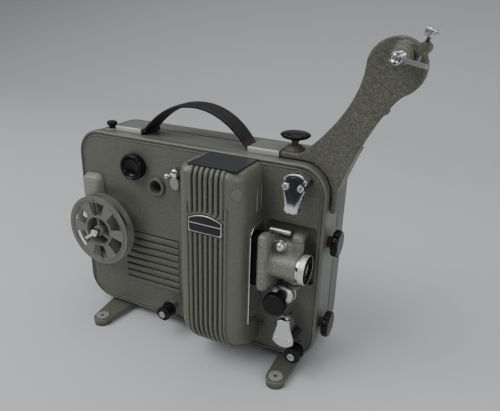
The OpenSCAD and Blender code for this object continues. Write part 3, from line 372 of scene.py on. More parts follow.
tint = {"greens": [(0.074, 0.078, 0.061), (0.119, 0.124, 0.099), (0.172, 0.176, 0.143)],
        "arm": [(0.055, 0.058, 0.043), (0.103, 0.105, 0.081), (0.172, 0.172, 0.132)],
        "lens": [(0.1, 0.105, 0.086), (0.18, 0.185, 0.154), (0.29, 0.294, 0.252)],
        "lampHouse": 1.14, "housing": 2.1, "knob": (0.008, 0.008, 0.009)}
stems = {"brownFrom": 50.0, "star": 6.6, "side": 6.8, "washer": 1.1}
greens = tint["greens"]
lampGreens, housingGreens = ([darker(c, tint[k]) for c in greens] for k in ("lampHouse", "housing"))
starEnd = Reach("star_knob").h1 + stand - stems["star"]
sideEnd = Reach("upper_side_knob").x1 - stems["side"]
washerLow = Reach("left_foot").h1 + stand - stems["washer"]
finishes = {
    "paint": hammertone("panelHammertone", greens, 0.0015, 0.5, 0.22),
    "rimPaint": hammertone("rimHammertone", greens, 0.0015, 0.5, 0.2, wear=0.8),
    "hammertone": hammertone("castHammertone", greens, 0.0018, 0.6, 0.24),
    "armPaint": hammertone("armHammertone", tint["arm"], 0.0016, 0.8, 0.26),
    "lampPaint": hammertone("lampHouseHammertone", lampGreens, 0.0014, 0.35, 0.2),
    "lensPaint": hammertone("lensHammertone", tint["lens"], 0.0013, 0.8, 0.3),
    "housingPaint": hammertone("housingHammertone", housingGreens, 0.0016, 0.3, 0.16),
    "band_grey": smoothEnamel("bandEnamel", (0.152, 0.157, 0.142)),
    "chrome": plating("chromePlate", (0.78, 0.785, 0.79), 0.06),
    "steel": plating("turnedSteel", (0.52, 0.53, 0.53), 0.22, (1, 0.08, 1)),
    "aluminium": plating("brightAluminium", (0.74, 0.735, 0.71), 0.2, (0.06, 1, 1)),
    "paleMetal": plating("paleFocusMetal", (0.86, 0.85, 0.80), 0.42, (1, 0.1, 0.1)),
    "bakelite": bakelite("blackBakelite", (0.007, 0.007, 0.008)),
    "mattBakelite": bakelite("mattBakelite", (0.010, 0.010, 0.011), 0.45),
    "starBakelite": bakelite("starBakelite", tint["knob"], 0.25, ("Z", starEnd)),
    "sideBakelite": bakelite("sideBakelite", tint["knob"], 0.26, ("X", sideEnd)),
    "slate": smoothEnamel("slateEnamel", (0.024, 0.027, 0.031), 0.42, 0.4),
    "leather": strapLeather("blackStrapLeather", stems["brownFrom"]),
    "rubber": softRubber("footRubber", (0.09, 0.092, 0.078)),
    "footRubber": softRubber("washeredRubber", (0.085, 0.088, 0.07), washerLow),
    "glass": opticGlass("opticGlass", (0.92, 0.95, 0.98)),
    "reel_grey": smoothEnamel("reelEnamel", (0.165, 0.166, 0.145), 0.42),
    "black_metal": smoothEnamel("blackEnamel", (0.010, 0.010, 0.011), 0.32, 0.4),
    "opticBlack": smoothEnamel("opticBlack", (0.005, 0.005, 0.005), 0.6, 0.15),
    "paleGrey": smoothEnamel("paleGreyEnamel", (0.30, 0.30, 0.275), 0.45),
    "iron": smoothEnamel("varnishedIron", (0.10, 0.075, 0.05), 0.4),
}
slotOf = {entry["node"]: entry["material_slot"] for entry in frame["record"]["subparts"]}
dict.fromkeys(("armPaint", "lampPaint", "lensPaint", "housingPaint"), "hammertone")
dict.fromkeys(("mattBakelite", "starBakelite", "sideBakelite"), "bakelite")
dressed = {"front_frame": "rimPaint", "pressure_plate": "opticBlack", "lens_barrel": "opticBlack",
           "left_foot": "footRubber", "right_foot": "footRubber", "feed_latch": "steel",
           "roller_axles": "steel", "left_roller": "mattBakelite", "right_roller": "mattBakelite"}
for name, solid in nodes.items():
    solid.data.materials.clear()
    solid.data.materials.append(finishes[dressed.get(name, slotOf[name])])
print("finishes made:", len(finishes))


# meshes

def keep(mesh, name, finish, body, stands=(), sharp=38):
    mesh.shade_smooth()
    mesh.set_sharp_from_angle(angle=math.radians(sharp))
    mesh.materials.clear()
    mesh.materials.append(finishes[finish])
    piece = bpy.data.objects.new(name, mesh)
    scene.collection.objects.link(piece)
    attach(piece, body)
    if stands:
        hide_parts(*stands)


def solidOf(holder):  # what an object's modifiers make, as a plain mesh
    mesh = bpy.data.meshes.new_from_object(holder.evaluated_get(bpy.context.evaluated_depsgraph_get()))
    bpy.data.objects.remove(holder)
    return mesh


def arc(middle, radius, start, end, steps):
    turns = [math.radians(start + (end - start) * i / steps) for i in range(steps + 1)]
    return [Vector(middle) + Vector((math.cos(a), math.sin(a))) * radius for a in turns]


def dome(wide, tall, base=0.0, steps=8):  # a quarter oval from its rim to its pole, for a lathe
    turns = [math.pi / 2 * i / steps for i in range(steps + 1)]
    return [(wide * math.cos(a), base + tall * math.sin(a)) for a in turns]


def roundedCorners(half, tall, radius, steps):  # an upright rectangle about zero, counter-clockwise
    points = []
    for x, h, start in ((1, 1, 0), (-1, 1, 90), (-1, -1, 180), (1, -1, 270)):
        points += arc((x * (half - radius), h * (tall - radius)), radius, start, start + 90, steps)
    return points


def inward(points):  # unit normals that point into a counter-clockwise outline
    normals = []
    for i in range(len(points)):
        along = (points[(i + 1) % len(points)] - points[i - 1]).normalized()
        normals.append(Vector((-along.y, along.x)))
    return normals


class Form:  # a mesh in the making, to which each method adds
    def __init__(self):
        self.bm = bmesh.new()

    def skin(self, rings, loop=False):  # quads between rings of points
        rows = [[self.bm.verts.new(p) for p in ring] for ring in rings]
        count = len(rows[0])
        pairs = list(zip(rows, rows[1:])) + ([(rows[-1], rows[0])] if loop else [])
        for a, b in pairs:
            for i in range(count):
                j = (i + 1) % count
                self.bm.faces.new((a[i], a[j], b[j], b[i]))
        if not loop:
            self.bm.faces.new(list(reversed(rows[0])))
            self.bm.faces.new(rows[-1])
        return self

    def turned(self, profile, origin, direction, segments=64):  # a lathe form from (radius, height) in mm
        z = Vector(direction).normalized()
        x = z.orthogonal().normalized()
        y = z.cross(x)
        rings = []
        for i in range(segments):
            a = 2 * math.pi * i / segments
            spoke = x * math.cos(a) + y * math.sin(a)
            rings.append([origin + (spoke * r + z * h) * mm for r, h in profile])
        return self.skin(rings, True)

    def fluted(self, profile, origin, lobes, cut, segments=160):  # an upright lathe form with a fluted rim
        wide = max(r for r, h in profile)
        rings = []
        for i in range(segments):
            a = 2 * math.pi * i / segments
            flute = cut * (0.5 + 0.5 * math.cos(lobes * a)) ** 3
            spoke = Vector((math.cos(a), math.sin(a), 0))
            reach = [(r * (1 - flute * (r / wide) ** 6), h) for r, h in profile]
            rings.append([origin + (spoke * r + Vector((0, 0, h))) * mm for r, h in reach])
        return self.skin(rings, True)

    def tube(self, points, radius, sides=12, loop=False):  # a round bar through points in metres
        rings = []
        side = None
        for i, p in enumerate(points):
            before = points[i - 1] if i or loop else p
            after = points[(i + 1) % len(points)] if loop or i + 1 < len(points) else p
            along = (after - before).normalized()
            side = along.orthogonal() if side is None else side - along * side.dot(along)
            side.normalize()
            other = along.cross(side)
            turn = [2 * math.pi * k / sides for k in range(sides)]
            rings.append([p + (side * math.cos(a) + other * math.sin(a)) * radius * mm for a in turn])
        return self.skin(rings, loop)

    def softBox(self, x, h, out, edge, steps=3):  # a block between pairs of limits, with rounded edges
        size = Vector((x[1] - x[0], out[1] - out[0], h[1] - h[0])) * mm
        middle = at((x[0] + x[1]) / 2, (h[0] + h[1]) / 2, (out[0] + out[1]) / 2)
        place = Matrix.Translation(middle) @ Matrix.Diagonal((*size, 1))
        made = bmesh.ops.create_cube(self.bm, size=1, matrix=place)
        around = {e for v in made["verts"] for e in v.link_edges}
        bmesh.ops.bevel(
            self.bm, geom=list(around), offset=edge * mm, segments=steps, profile=0.5, affect="EDGES")
        return self

    def roundedPlate(self, points, back, front, radius, place=at):
        # an outline in mm whose front edge is rounded, and its back edge a little
        profile = [(radius * 0.3, back), (0.0, back + radius * 0.3)]
        for i in range(6):
            a = math.pi / 2 * i / 5
            profile.append((radius * (1 - math.cos(a)), front - radius + radius * math.sin(a)))
        pairs = list(zip(points, inward(points)))
        return self.skin([[place(*(p + n * inset), depth) for p, n in pairs] for inset, depth in profile])

    def mesh(self, name):
        bmesh.ops.remove_doubles(self.bm, verts=self.bm.verts, dist=1e-6)
        bmesh.ops.recalc_face_normals(self.bm, faces=self.bm.faces)
        bmesh.ops.triangulate(self.bm, faces=[f for f in self.bm.faces if len(f.verts) > 4])
        mesh = bpy.data.meshes.new(name)
        self.bm.to_mesh(mesh)
        self.bm.free()
        return mesh

    def keep(self, name, finish, body, stands=(), sharp=38):
        keep(self.mesh(name), name, finish, body, stands, sharp)


def lathe(name, finish, body, profile, place, direction=forward, segments=64, stands=(), sharp=38):
    Form().turned(profile, place, direction, segments).keep(name, finish, body, stands, sharp)


def recast(node, finish, voxel, passes, form=None):
    # a solid's own shape, or another form for it, with its edges melted round, as a casting has
    holder = bpy.data.objects.new(node + "Cast", form or nodes[node].data.copy())
    scene.collection.objects.link(holder)
    melt = holder.modifiers.new("melt", "REMESH")
    melt.mode = "VOXEL"
    melt.voxel_size = voxel * mm
    soften = holder.modifiers.new("soften", "SMOOTH")
    soften.factor = 0.5
    soften.iterations = passes
    keep(solidOf(holder), node + "Cast", finish, node, (node,), 60)


def reshaped(node, move):  # a merged copy of a solid with its points moved
    form = Form()
    form.bm.from_mesh(nodes[node].data)
    bmesh.ops.remove_doubles(form.bm, verts=form.bm.verts, dist=1e-6)
    for v in form.bm.verts:
        v.co = move(v.co)
    return form


# patterns that repeat

def screwPattern():
    p = Pattern("slottedScrews", {"Radius": 3.0, "Dome": 1.2, "Slot": 0.8})
    radius, rise, slot = (p.given(k) * mm for k in ("Radius", "Dome", "Slot"))
    ball = p.node("MeshUVSphere", None, {"Segments": 28, "Rings": 14, "Radius": 1.0})
    head = p.node("Transform", None, {"Geometry": ball, "Scale": p.vector(radius, radius, rise)})
    bar = p.node("MeshCube", None, {"Size": p.vector(radius * 3, slot, rise * 1.7)})
    bar = p.node("Transform", None, {"Geometry": bar, "Translation": p.vector(0.0, 0.0, rise)})
    head = p.node("MeshBoolean", {"operation": "DIFFERENCE"}, {"Mesh 1": head, "Mesh 2": bar})
    facing = p.node("InputNamedAttribute", {"data_type": "FLOAT_VECTOR"}, {"Name": "facing"})
    lean = p.node("FunctionNodeAlignRotationToVector", {"axis": "Z"}, {"Vector": facing})
    spin = p.node("FunctionNodeRandomValue", {"data_type": "FLOAT"}, {"Max": 3.0, "Seed": 7}, out=1)
    spin = p.node("FunctionNodeAxisAngleToRotation", None, {"Axis": (0.0, 0.0, 1.0), "Angle": spin})
    lean = p.node("FunctionNodeRotateRotation", {"rotation_space": "LOCAL"}, {0: lean, 1: spin})
    return p.close(p.node("InstanceOnPoints", None, {
        "Points": p.given("Geometry"), "Instance": head, "Rotation": lean}))


def gripPattern():  # fine ridges round a knob
    p = Pattern("gripRidges", {"Count": 40, "Radius": 12.0, "Length": 10.0, "Ridge": 0.5,
                               "Centre": (0.0, 0.0, 0.0), "Lean": (0.0, 0.0, 0.0)})
    ring = p.node("MeshCircle", None, {"Vertices": p.given("Count"), "Radius": p.given("Radius") * mm})
    ball = p.node("MeshUVSphere", None, {"Segments": 8, "Rings": 8, "Radius": 1.0})
    wide = p.given("Ridge") * mm
    ridge = p.node("Transform", None, {
        "Geometry": ball, "Scale": p.vector(wide, wide, p.given("Length") * (mm / 2))})
    ridges = p.node("InstanceOnPoints", None, {"Points": ring, "Instance": ridge})
    ridges = p.node("RealizeInstances", None, {0: ridges})
    return p.close(p.node("Transform", None, {
        "Geometry": ridges, "Translation": p.given("Centre"), "Rotation": p.given("Lean")}))


def louvrePattern():  # pressed hoods, one above the other
    p = Pattern("louvreHoods", {"Count": 8, "Pitch": 8.0, "Width": 68.0, "Height": 5.4, "Bulge": 1.0,
                                "Lowest": (0.0, 0.0, 0.0)})
    row = p.node("MeshLine", {"mode": "OFFSET"}, {
        "Count": p.given("Count"), "Start Location": p.given("Lowest"),
        "Offset": p.vector(0.0, 0.0, p.given("Pitch") * mm)})
    bar = p.node("MeshCylinder", None, {
        "Vertices": 32, "Radius": 1.0, "Depth": p.given("Width") * mm})
    hood = p.node("Transform", None, {
        "Geometry": bar, "Rotation": (0.0, math.pi / 2, 0.0),
        "Scale": p.vector(p.given("Height") * (mm / 2), p.given("Bulge") * mm, 1.0)})
    return p.close(p.node("InstanceOnPoints", None, {"Points": row, "Instance": hood}))


def ribPattern():  # bars that follow the lamp house front from brow to toe
    p = Pattern("lampRibs", {
        "Count": 7, "Pitch": 5.1, "Middle": 0.0, "Top": 190.0, "Bottom": 12.0, "Arch": 0.0, "Radius": 1.7,
        "Lift": 0.5, "Point": 0.01, "Depth": 45.0, "Toe": 36.0, "Foot": 9.0, "Brow": 9.0, "Roof": 194.0})
    pitch, arch, top, lift = (p.given(k) for k in ("Pitch", "Arch", "Top", "Lift"))
    row = p.node("MeshLine", {"mode": "OFFSET"}, {
        "Count": p.given("Count"), "Start Location": p.vector((1 - p.given("Count")) * pitch * 0.5, 0.0, 0.0),
        "Offset": p.vector(pitch, 0.0, 0.0)})
    line = p.node("CurvePrimitiveLine", None, {"Start": (0.0, 0.0, 0.0), "End": (0.0, 0.0, 1.0)})
    line = p.node("ResampleCurve", None, {"Curve": line, "Count": 240})
    bars = p.node("InstanceOnPoints", None, {"Points": row, "Instance": line})
    bars = p.node("RealizeInstances", None, {0: bars})
    place = p.node("InputPosition")
    x = p.axis(place, "X")
    rise = (arch * arch - x * x).root() - arch
    h = top + (p.given("Bottom") + rise - top) * p.axis(place, "Z")
    toe = p.given("Toe") + lift
    brow = p.given("Brow") + lift
    below = (p.given("Foot") + p.given("Toe") - h).atLeast(0.0)
    above = (h - p.given("Roof") + p.given("Brow")).atLeast(0.0)
    front = p.given("Depth") + lift + (toe * toe - below * below).root() - toe
    front = front + (brow * brow - above * above).root() - brow
    spot = p.vector((x + p.given("Middle")) * mm, front * -mm, (h + stand) * mm)
    bars = p.node("SetPosition", None, {"Geometry": bars, "Position": spot})
    thick = (p.node("SplineParameter") / p.given("Point")).atMost(1.0)
    bars = p.node("SetCurveRadius", None, {"Curve": bars, "Radius": thick})
    ring = p.node("CurvePrimitiveCircle", None, {
        "Resolution": 12, "Radius": p.given("Radius") * mm})
    return p.close(p.node("CurveToMesh", None, {
        "Curve": bars, "Profile Curve": ring, "Fill Caps": True}))


screws, grips, louvres, ribs = screwPattern(), gripPattern(), louvrePattern(), ribPattern()
print("patterns wired: 4")


def addScrews(name, body, radius, places, facing):
    sizes = {"Radius": radius, "Dome": radius * 0.38, "Slot": radius * 0.34}
    screws.add(name, "steel", body, sizes, places, facing)


# case

shell = {"inset": 0.4, "seamOut": -40.0, "seamWide": 1.3, "blockEdge": 1.0, "baseRadius": 7.0,
         "beadInset": 5.0, "bead": 0.75, "coverScrew": 4.2}


def caseOutline(inset):
    middle = Vector((0, case.h1 / 2))
    half, tall, r = case.x1 - inset, case.h1 / 2 - inset, caseCorner - inset
    return [middle + p for p in roundedCorners(half, tall, r, 14)]


def buildCase():
    points = caseOutline(shell["inset"])
    o, w = shell["seamOut"], shell["seamWide"] / 2
    section = [(0.3, o - w), (-0.2, o - w), (-0.2, o + w), (0.3, o + w)]
    seam = [[at(*(p + n * deep), out) for deep, out in section] for p, n in zip(points, inward(points))]
    Form().skin(seam, True).keep("caseSeam", "black_metal", "case")
    bead = [at(*p, -0.1) for p in caseOutline(shell["beadInset"])]
    Form().tube(bead, shell["bead"], 10, True).keep("panelBead", "rimPaint", "case")
    for node in ("left_handle_block", "right_handle_block"):
        b = Reach(node)
        block = Form().softBox((b.x0, b.x1), (b.h0, b.h1), (b.out0, b.out1 - 0.8), shell["blockEdge"])
        block.keep(node + "Cap", "band_grey", "case", (node,))
        strip = Form()
        strip.softBox((b.x0 + 0.2, b.x1 - 0.2), (b.h0 + 0.2, b.h1 - 0.3), (b.out1 - 1.6, b.out1), 0.5, 2)
        strip.keep(node + "Strip", "paleMetal", "case")
    c = Reach("cover_screws")
    places = [at(x, h, c.out0 + 1.7) for x in (c.x0 + 3.5, c.x1 - 3.5) for h in (c.h0 + 3.5, c.h1 - 3.5)]
    addScrews("rearCoverScrews", "case", shell["coverScrew"], places, (0, 1, 0))
    button = Reach("top_button")
    r = shell["baseRadius"]
    base = [(3.2, 0), (r, 0), (r, 0.9), (r - 0.5, 1.3), (3.2, 1.3)]
    lathe("buttonBase", "paleGrey", "case", base, at(button.x, case.h1 - 0.4, button.out), upward)


buildCase()
print("case trimmed")


# louvres

louvre = {"left": -83.0, "right": -14.6, "lowest": 34.1, "pitch": 8.0, "count": 8, "tall": 5.4, "bulge": 0.95}


def buildLouvres():
    middle = (louvre["left"] + louvre["right"]) / 2
    louvres.add("louvreHoods", "paint", "case", {
        "Count": louvre["count"], "Pitch": louvre["pitch"], "Width": louvre["right"] - louvre["left"],
        "Height": louvre["tall"], "Bulge": louvre["bulge"], "Lowest": tuple(at(middle, louvre["lowest"], 0))})


buildLouvres()
print("louvres pressed:", louvre["count"])


# feed arm

arm = {"bossFront": -3.6, "flange": 6.5, "neck": 5.0, "lug": (172.0, 246.6, -15.0),
       "lugLean": (0.78, 0, -0.62), "seatSteps": (9.2, 7.0), "cup": 4.5, "brake": (194.0, 292.5, -1.4),
       "brakeLean": 20.0, "grip": 4.6, "gripAt": 19.0, "gripDown": 4.0, "gripSlim": 0.82,
       "ear": (195.0, 295.5, -9.0), "earRadius": 4.9}


def buildFeedArm():
    recast("feed_arm", "armPaint", 0.8, 12)
    spindle, star = Reach("feed_spindle"), Reach("star_knob")
    r, neck = arm["flange"], arm["neck"]
    flange = [(3.95, -0.1), (7.2, -0.1), (7.2, 2.7), (6.8, 3.2), (neck, 3.1), (neck, 11.2), (r - 0.2, 11.2),
              (r, 11.5), (r, 13.6), (r - 0.4, 14.1), (3.95, 14.1)]
    lathe("spindleDisc", "reel_grey", "feed_spindle", flange, at(spindle.x, spindle.h, arm["bossFront"]))
    axis = at(spindle.x, spindle.h, 0)

    def slimmer(co):  # the seat disc drawn in under the flange
        away = Vector((co.x - axis.x, 0, co.z - axis.z))
        return co - away * (1 - (r - 0.3) * mm / away.length) if away.length > 8 * mm else co

    reshaped("feed_spindle", slimmer).keep("feedSpindle", "chrome", "feed_spindle", ("feed_spindle",))
    c = arm["cup"]
    cup = [(2.4, 0), (c - 0.3, 0), (c, 0.4), (c, 1.2), (c - 0.5, 1.7), (2.9, 1.7), (2.4, 1.2)]
    lathe("spindleCup", "chrome", "feed_spindle", cup, at(spindle.x, spindle.h, spindle.out1 - 1.7))
    wide, narrow = arm["seatSteps"]
    steps = [(3.1, -1), (wide, -1), (wide, 1.7), (wide - 0.6, 2.3), (narrow, 2.3), (narrow, 3.6),
             (narrow - 0.5, 4.1), (3.1, 4.1)]
    seats = Form().turned(steps, at(star.x, case.h1 + 5.6, star.out), upward)
    lug = [(0, -2), (4.4, -2), (4.0, 1.2), (2.4, 2.7), (0, 3.1)]
    seats.turned(lug, at(*arm["lug"]), arm["lugLean"], 32)
    e = arm["earRadius"]
    seats.turned([(0, 0), (e, 0), (e, 10.2), (e - 0.5, 10.8), (0, 10.8)], at(*arm["ear"]), forward, 40)
    seats.keep("armSeats", "armPaint", "feed_arm")
    lean = math.radians(arm["brakeLean"])
    root = at(*arm["brake"])
    screw = Vector((math.sin(lean), 0, math.cos(lean)))

    def lower(co):  # the grip screwed further in
        along = (co - root).dot(screw)
        if along <= (arm["gripAt"] - 3.5) * mm:
            return co
        middle = root + screw * along
        return middle + (co - middle) * arm["gripSlim"] - screw * arm["gripDown"] * mm

    reshaped("brake_screw", lower).keep("brakeScrew", "chrome", "brake_screw", ("brake_screw",))
    middle = root + screw * (arm["gripAt"] - arm["gripDown"]) * mm
    grips.add("brakeGrip", "chrome", "brake_screw", {
        "Count": 26, "Radius": arm["grip"], "Length": 5.6, "Ridge": 0.45, "Centre": tuple(middle),
        "Lean": (0.0, lean, 0.0)})


buildFeedArm()
print("feed arm cast")


# carrying strap

strap = {"width": 24.0, "thick": 3.4, "front": -10.7, "steps": 64, "bow": 2.15, "taper": 0.22, "rise": 1.2}


def buildStrap():
    band = Reach("carrying_strap")
    top, bow, front, rise = case.h1, strap["bow"], strap["front"], strap["rise"]
    w, t = strap["width"] / 2, strap["thick"] / 2
    section = []
    for i in range(40):  # a flat leather section with soft edges and a slight crown
        a = 2 * math.pi * i / 40
        u = math.copysign(abs(math.cos(a)) ** 0.28, math.cos(a)) * w
        v = math.copysign(abs(math.sin(a)) ** 0.5, math.sin(a)) * t
        section.append((u, v + 0.35 * (1 - (u / w) ** 2)))
    lift = band.h1 - top - t - rise
    rings = []
    for i in range(strap["steps"] + 1):
        s = -1 + 2 * i / strap["steps"]
        h = top + rise + lift * (1 - abs(s) ** bow)
        slope = -lift * bow * abs(s) ** (bow - 1) * math.copysign(1, s) / band.half
        n = Vector((0, 1)) if abs(s) > 0.999 else Vector((-slope, 1)).normalized()
        x = band.x + band.half * s
        wide = 1 - strap["taper"] * max(0.0, (s - 0.55) / 0.45) ** 2
        rings.append([
            at(x + n.x * v, max(h + n.y * v, top + 0.1), front - (w - u) * wide) for u, v in section])
    Form().skin(rings).keep("strapBand", "leather", "case", ("carrying_strap",))
    tab = Form()
    tab.softBox((band.x0 - 0.5, band.x0 + 5), (top + 0.2, top + 4.6), (front - 2 * w - 0.6, front + 0.6), 1.2)
    tab.keep("strapTab", "bakelite", "case")


buildStrap()
print("strap laid")


# lamp house

lampBox = Reach("lamp_house_cover")
lampRoof = Reach("lamp_house_top").h0
badge = Reach("badge_plate")
lampHouse = {"rib": 2.2, "toe": 36.0, "foot": 9.0, "brow": 9.0, "shoulder": 16.0, "side": 8.0,
             "roofRight": 9.0, "roofLeft": 4.0, "cap": (4.9, 174.7, 47.0)}
lampFront = lampBox.out1 - lampHouse["rib"]


def fall(radius, past):  # how far a round edge has dropped
    return radius - math.sqrt(max(0.0, radius ** 2 - max(0.0, past) ** 2))


def lampRing(h):  # the plan of the lamp house at one height
    toe, brow = lampHouse["toe"], lampHouse["brow"]
    front = lampFront - fall(toe, lampHouse["foot"] + toe - h) - fall(brow, h - lampRoof + brow)
    right = lampBox.x1 - fall(lampHouse["roofRight"], h - lampRoof + lampHouse["roofRight"]) * 0.8
    left = lampBox.x0 + fall(lampHouse["roofLeft"], h - lampRoof + lampHouse["roofLeft"]) * 0.8
    big, small = (min(lampHouse[k], front * 0.95) for k in ("shoulder", "side"))
    points = [Vector((right, (front - big) * k / 4)) for k in range(4)]
    points += arc((right - big, front - big), big, 0, 90, 16)
    points += [Vector((right - big + (left + small - right + big) * k / 12, front)) for k in range(1, 12)]
    points += arc((left + small, front - small), small, 90, 180, 10)
    return points + [Vector((left, (front - small) * k / 4)) for k in (3, 2, 1, 0)]


def buildLampHouse():
    foot, toe, brow = lampHouse["foot"], lampHouse["toe"], lampHouse["brow"]
    heights = [foot + toe * (1 - math.cos(math.pi / 2 * i / 24)) for i in range(25)]
    heights += [foot + toe + (lampRoof - brow - foot - toe) * i / 12 for i in range(1, 12)]
    heights += [lampRoof - brow + brow * math.sin(math.pi / 2 * i / 14) for i in range(15)]
    cover = Form().skin([[at(p.x, h, p.y) for p in lampRing(h)] for h in heights])
    back = [f for f in cover.bm.faces if max(abs(v.co.y) for v in f.verts) < 0.01 * mm]
    bmesh.ops.delete(cover.bm, geom=back, context="FACES_ONLY")
    cover.keep("lampHouseShell", "lampPaint", "case", ("lamp_house_cover",), 50)
    row = {"Middle": badge.x, "Depth": lampFront, "Toe": toe, "Foot": foot, "Brow": brow, "Roof": lampRoof}
    arch = badge.half * 2 + 4.0
    upper = {**row, "Arch": arch}
    # the six dark strips laid between the upper ribs are painted shade, standing for the shadow in the gaps
    # between the ribs
    darkStrips = {"Count": 6}
    ribs.add("upperRibs", "lampPaint", "case", {
        **upper, "Top": lampRoof - 0.9, "Bottom": badge.h1 + 3.2, "Radius": 1.75}, sharp=60)
    ribs.add("upperRibGapShade", "black_metal", "case", {
        **upper, **darkStrips, "Top": lampRoof - 1.6, "Bottom": badge.h1 + 4.6, "Radius": 0.95,
        "Lift": -0.5}, sharp=60)
    ribs.add("lowerRibs", "lampPaint", "case", {
        **row, "Top": badge.h0 - 1.2, "Bottom": foot + 0.8, "Radius": 1.7}, sharp=60)
    # the dark strips between the lower ribs are painted shade in the rib gaps as well
    ribs.add("lowerRibGapShade", "slate", "case", {
        **row, **darkStrips, "Top": badge.h0 - 1.6, "Bottom": foot + 1.5, "Radius": 0.9, "Lift": -0.55}, sharp=60)
    ribs.add("sideBorders", "lampPaint", "case", {
        **row, "Top": badge.h1 + 9.0, "Bottom": foot + 0.8, "Count": 2, "Pitch": 38.2, "Radius": 1.3,
        "Lift": 0.2, "Point": 0.09}, sharp=60)
    sweep = math.degrees(math.asin((badge.half + 1.6) / arch))
    crest = [at(badge.x + p.x, badge.h1 + 1.5 + p.y, lampFront + 0.2)
             for p in arc((0, -arch), arch, 90 + sweep, 90 - sweep, 20)]
    Form().tube(crest, 1.1).keep("badgeArch", "lampPaint", "case")
    r, h, turn = lampHouse["cap"]
    a = math.radians(turn)
    big = lampHouse["shoulder"]
    place = at(lampBox.x1 - big + big * math.cos(a), h, lampFront - big + big * math.sin(a))
    cap = [(0, -2), (r, -2), (r, 0.5), (r - 0.4, 0.9), (0, 0.9)]
    lathe("shoulderCap", "reel_grey", "case", cap, place, (math.cos(a), -math.sin(a), 0))


def badgeOutline(low, high, side):  # an arched panel, high and low measured from the badge's middle
    radius = badge.half * 2
    sweep = math.degrees(math.asin(side / radius))
    points = [Vector((-side, low)), Vector((side, low))]
    points += arc((0, high - radius), radius, 90 - sweep, 90 + sweep, 16)
    return [Vector((badge.x + p.x, badge.h + p.y)) for p in points]


def buildBadge():
    half, drop = badge.half, (badge.h1 - badge.h0) / 2
    border = Form().roundedPlate(badgeOutline(-drop, drop, half), badge.out0 - 0.2, badge.out1 - 0.3, 0.4)
    border.keep("badgeBorder", "aluminium", "case", ("badge_plate",))
    edge, cut = half - 0.8, 2.2
    low = [(cut - half, 0.8 - drop), (half - cut, 0.8 - drop), (edge, cut - drop), (edge, -0.4),
           (-edge, -0.4), (-edge, cut - drop)]
    lower = [Vector((badge.x + x, badge.h + h)) for x, h in low]
    bands = Form()
    for outline in (badgeOutline(0.4, drop - 0.8, edge), lower):
        bands.roundedPlate(outline, badge.out1 - 0.8, badge.out1, 0.25)
    bands.keep("badgeBands", "black_metal", "case")


buildLampHouse()
buildBadge()
print("lamp house built")


# film gate and lens

lens = {"ringBack": 1.5, "rim": 0.5, "bore": 10.1, "glass": 6.9, "window": (151.0, 172.0),
        "peg": (81.4, 27.7), "hinge": (116.0, 9.0), "bar": (19.0, 4.2), "bridge": 18.0, "ear": 6.0,
        "button": (103.8, 126.6, 5.3), "gateCorners": (9.0, 3.0)}


def sideways(out, h, x):  # a plate that stands across the beam
    return at(x, h, out)


def buildGate():
    plate = Reach("aperture_plate")
    top, low = lens["gateCorners"]
    outline = [Vector((plate.out0, plate.h0)), Vector((plate.out1 - low, plate.h0))]
    outline += arc((plate.out1 - low, plate.h0 + low), low, -90, 0, 4)
    outline += arc((plate.out1 - top, plate.h1 - top), top, 0, 90, 12)
    outline.append(Vector((plate.out0, plate.h1)))
    gate = Form().roundedPlate(outline, plate.x0, plate.x1, 0.6, sideways)
    gate.keep("gatePlate", "chrome", "case", ("aperture_plate",))
    larger = [p + Vector((0.5, 0.5)) for p in outline]
    surround = Form().roundedPlate(larger, plate.x0 - 1.6, plate.x1 - 0.6, 0.9, sideways)
    surround.keep("gateSurround", "lampPaint", "case")
    h0, h1 = lens["window"]
    wall = lampBox.x1
    window = Form().softBox((wall - 1, wall + 0.2), (h0, h1), (3.4, 11), 0.15, 1)
    window.keep("sideWindow", "paint", "case")
    edges = Form()
    for out in (3.0, 11.0):
        edges.softBox((wall - 1, wall + 0.5), (h0 - 1, h1 + 1), (out, out + 0.4), 0.15, 2)
    edges.keep("windowEdges", "steel", "case")
    place = at(*lens["peg"], 0)
    peg = [(1.3, -0.5), (2.7, -0.5), (2.7, 2.6), (2.2, 3.2), (1.3, 3.2)]
    lathe("panelPeg", "lampPaint", "case", peg, place, segments=32)
    # the black disc down in the peg's bore is painted shade in the hole
    lathe("pegHoleShade", "opticBlack", "case", [(0, 0), (1.4, 0), (1.4, 1.2), (0, 1.2)], place, segments=24)


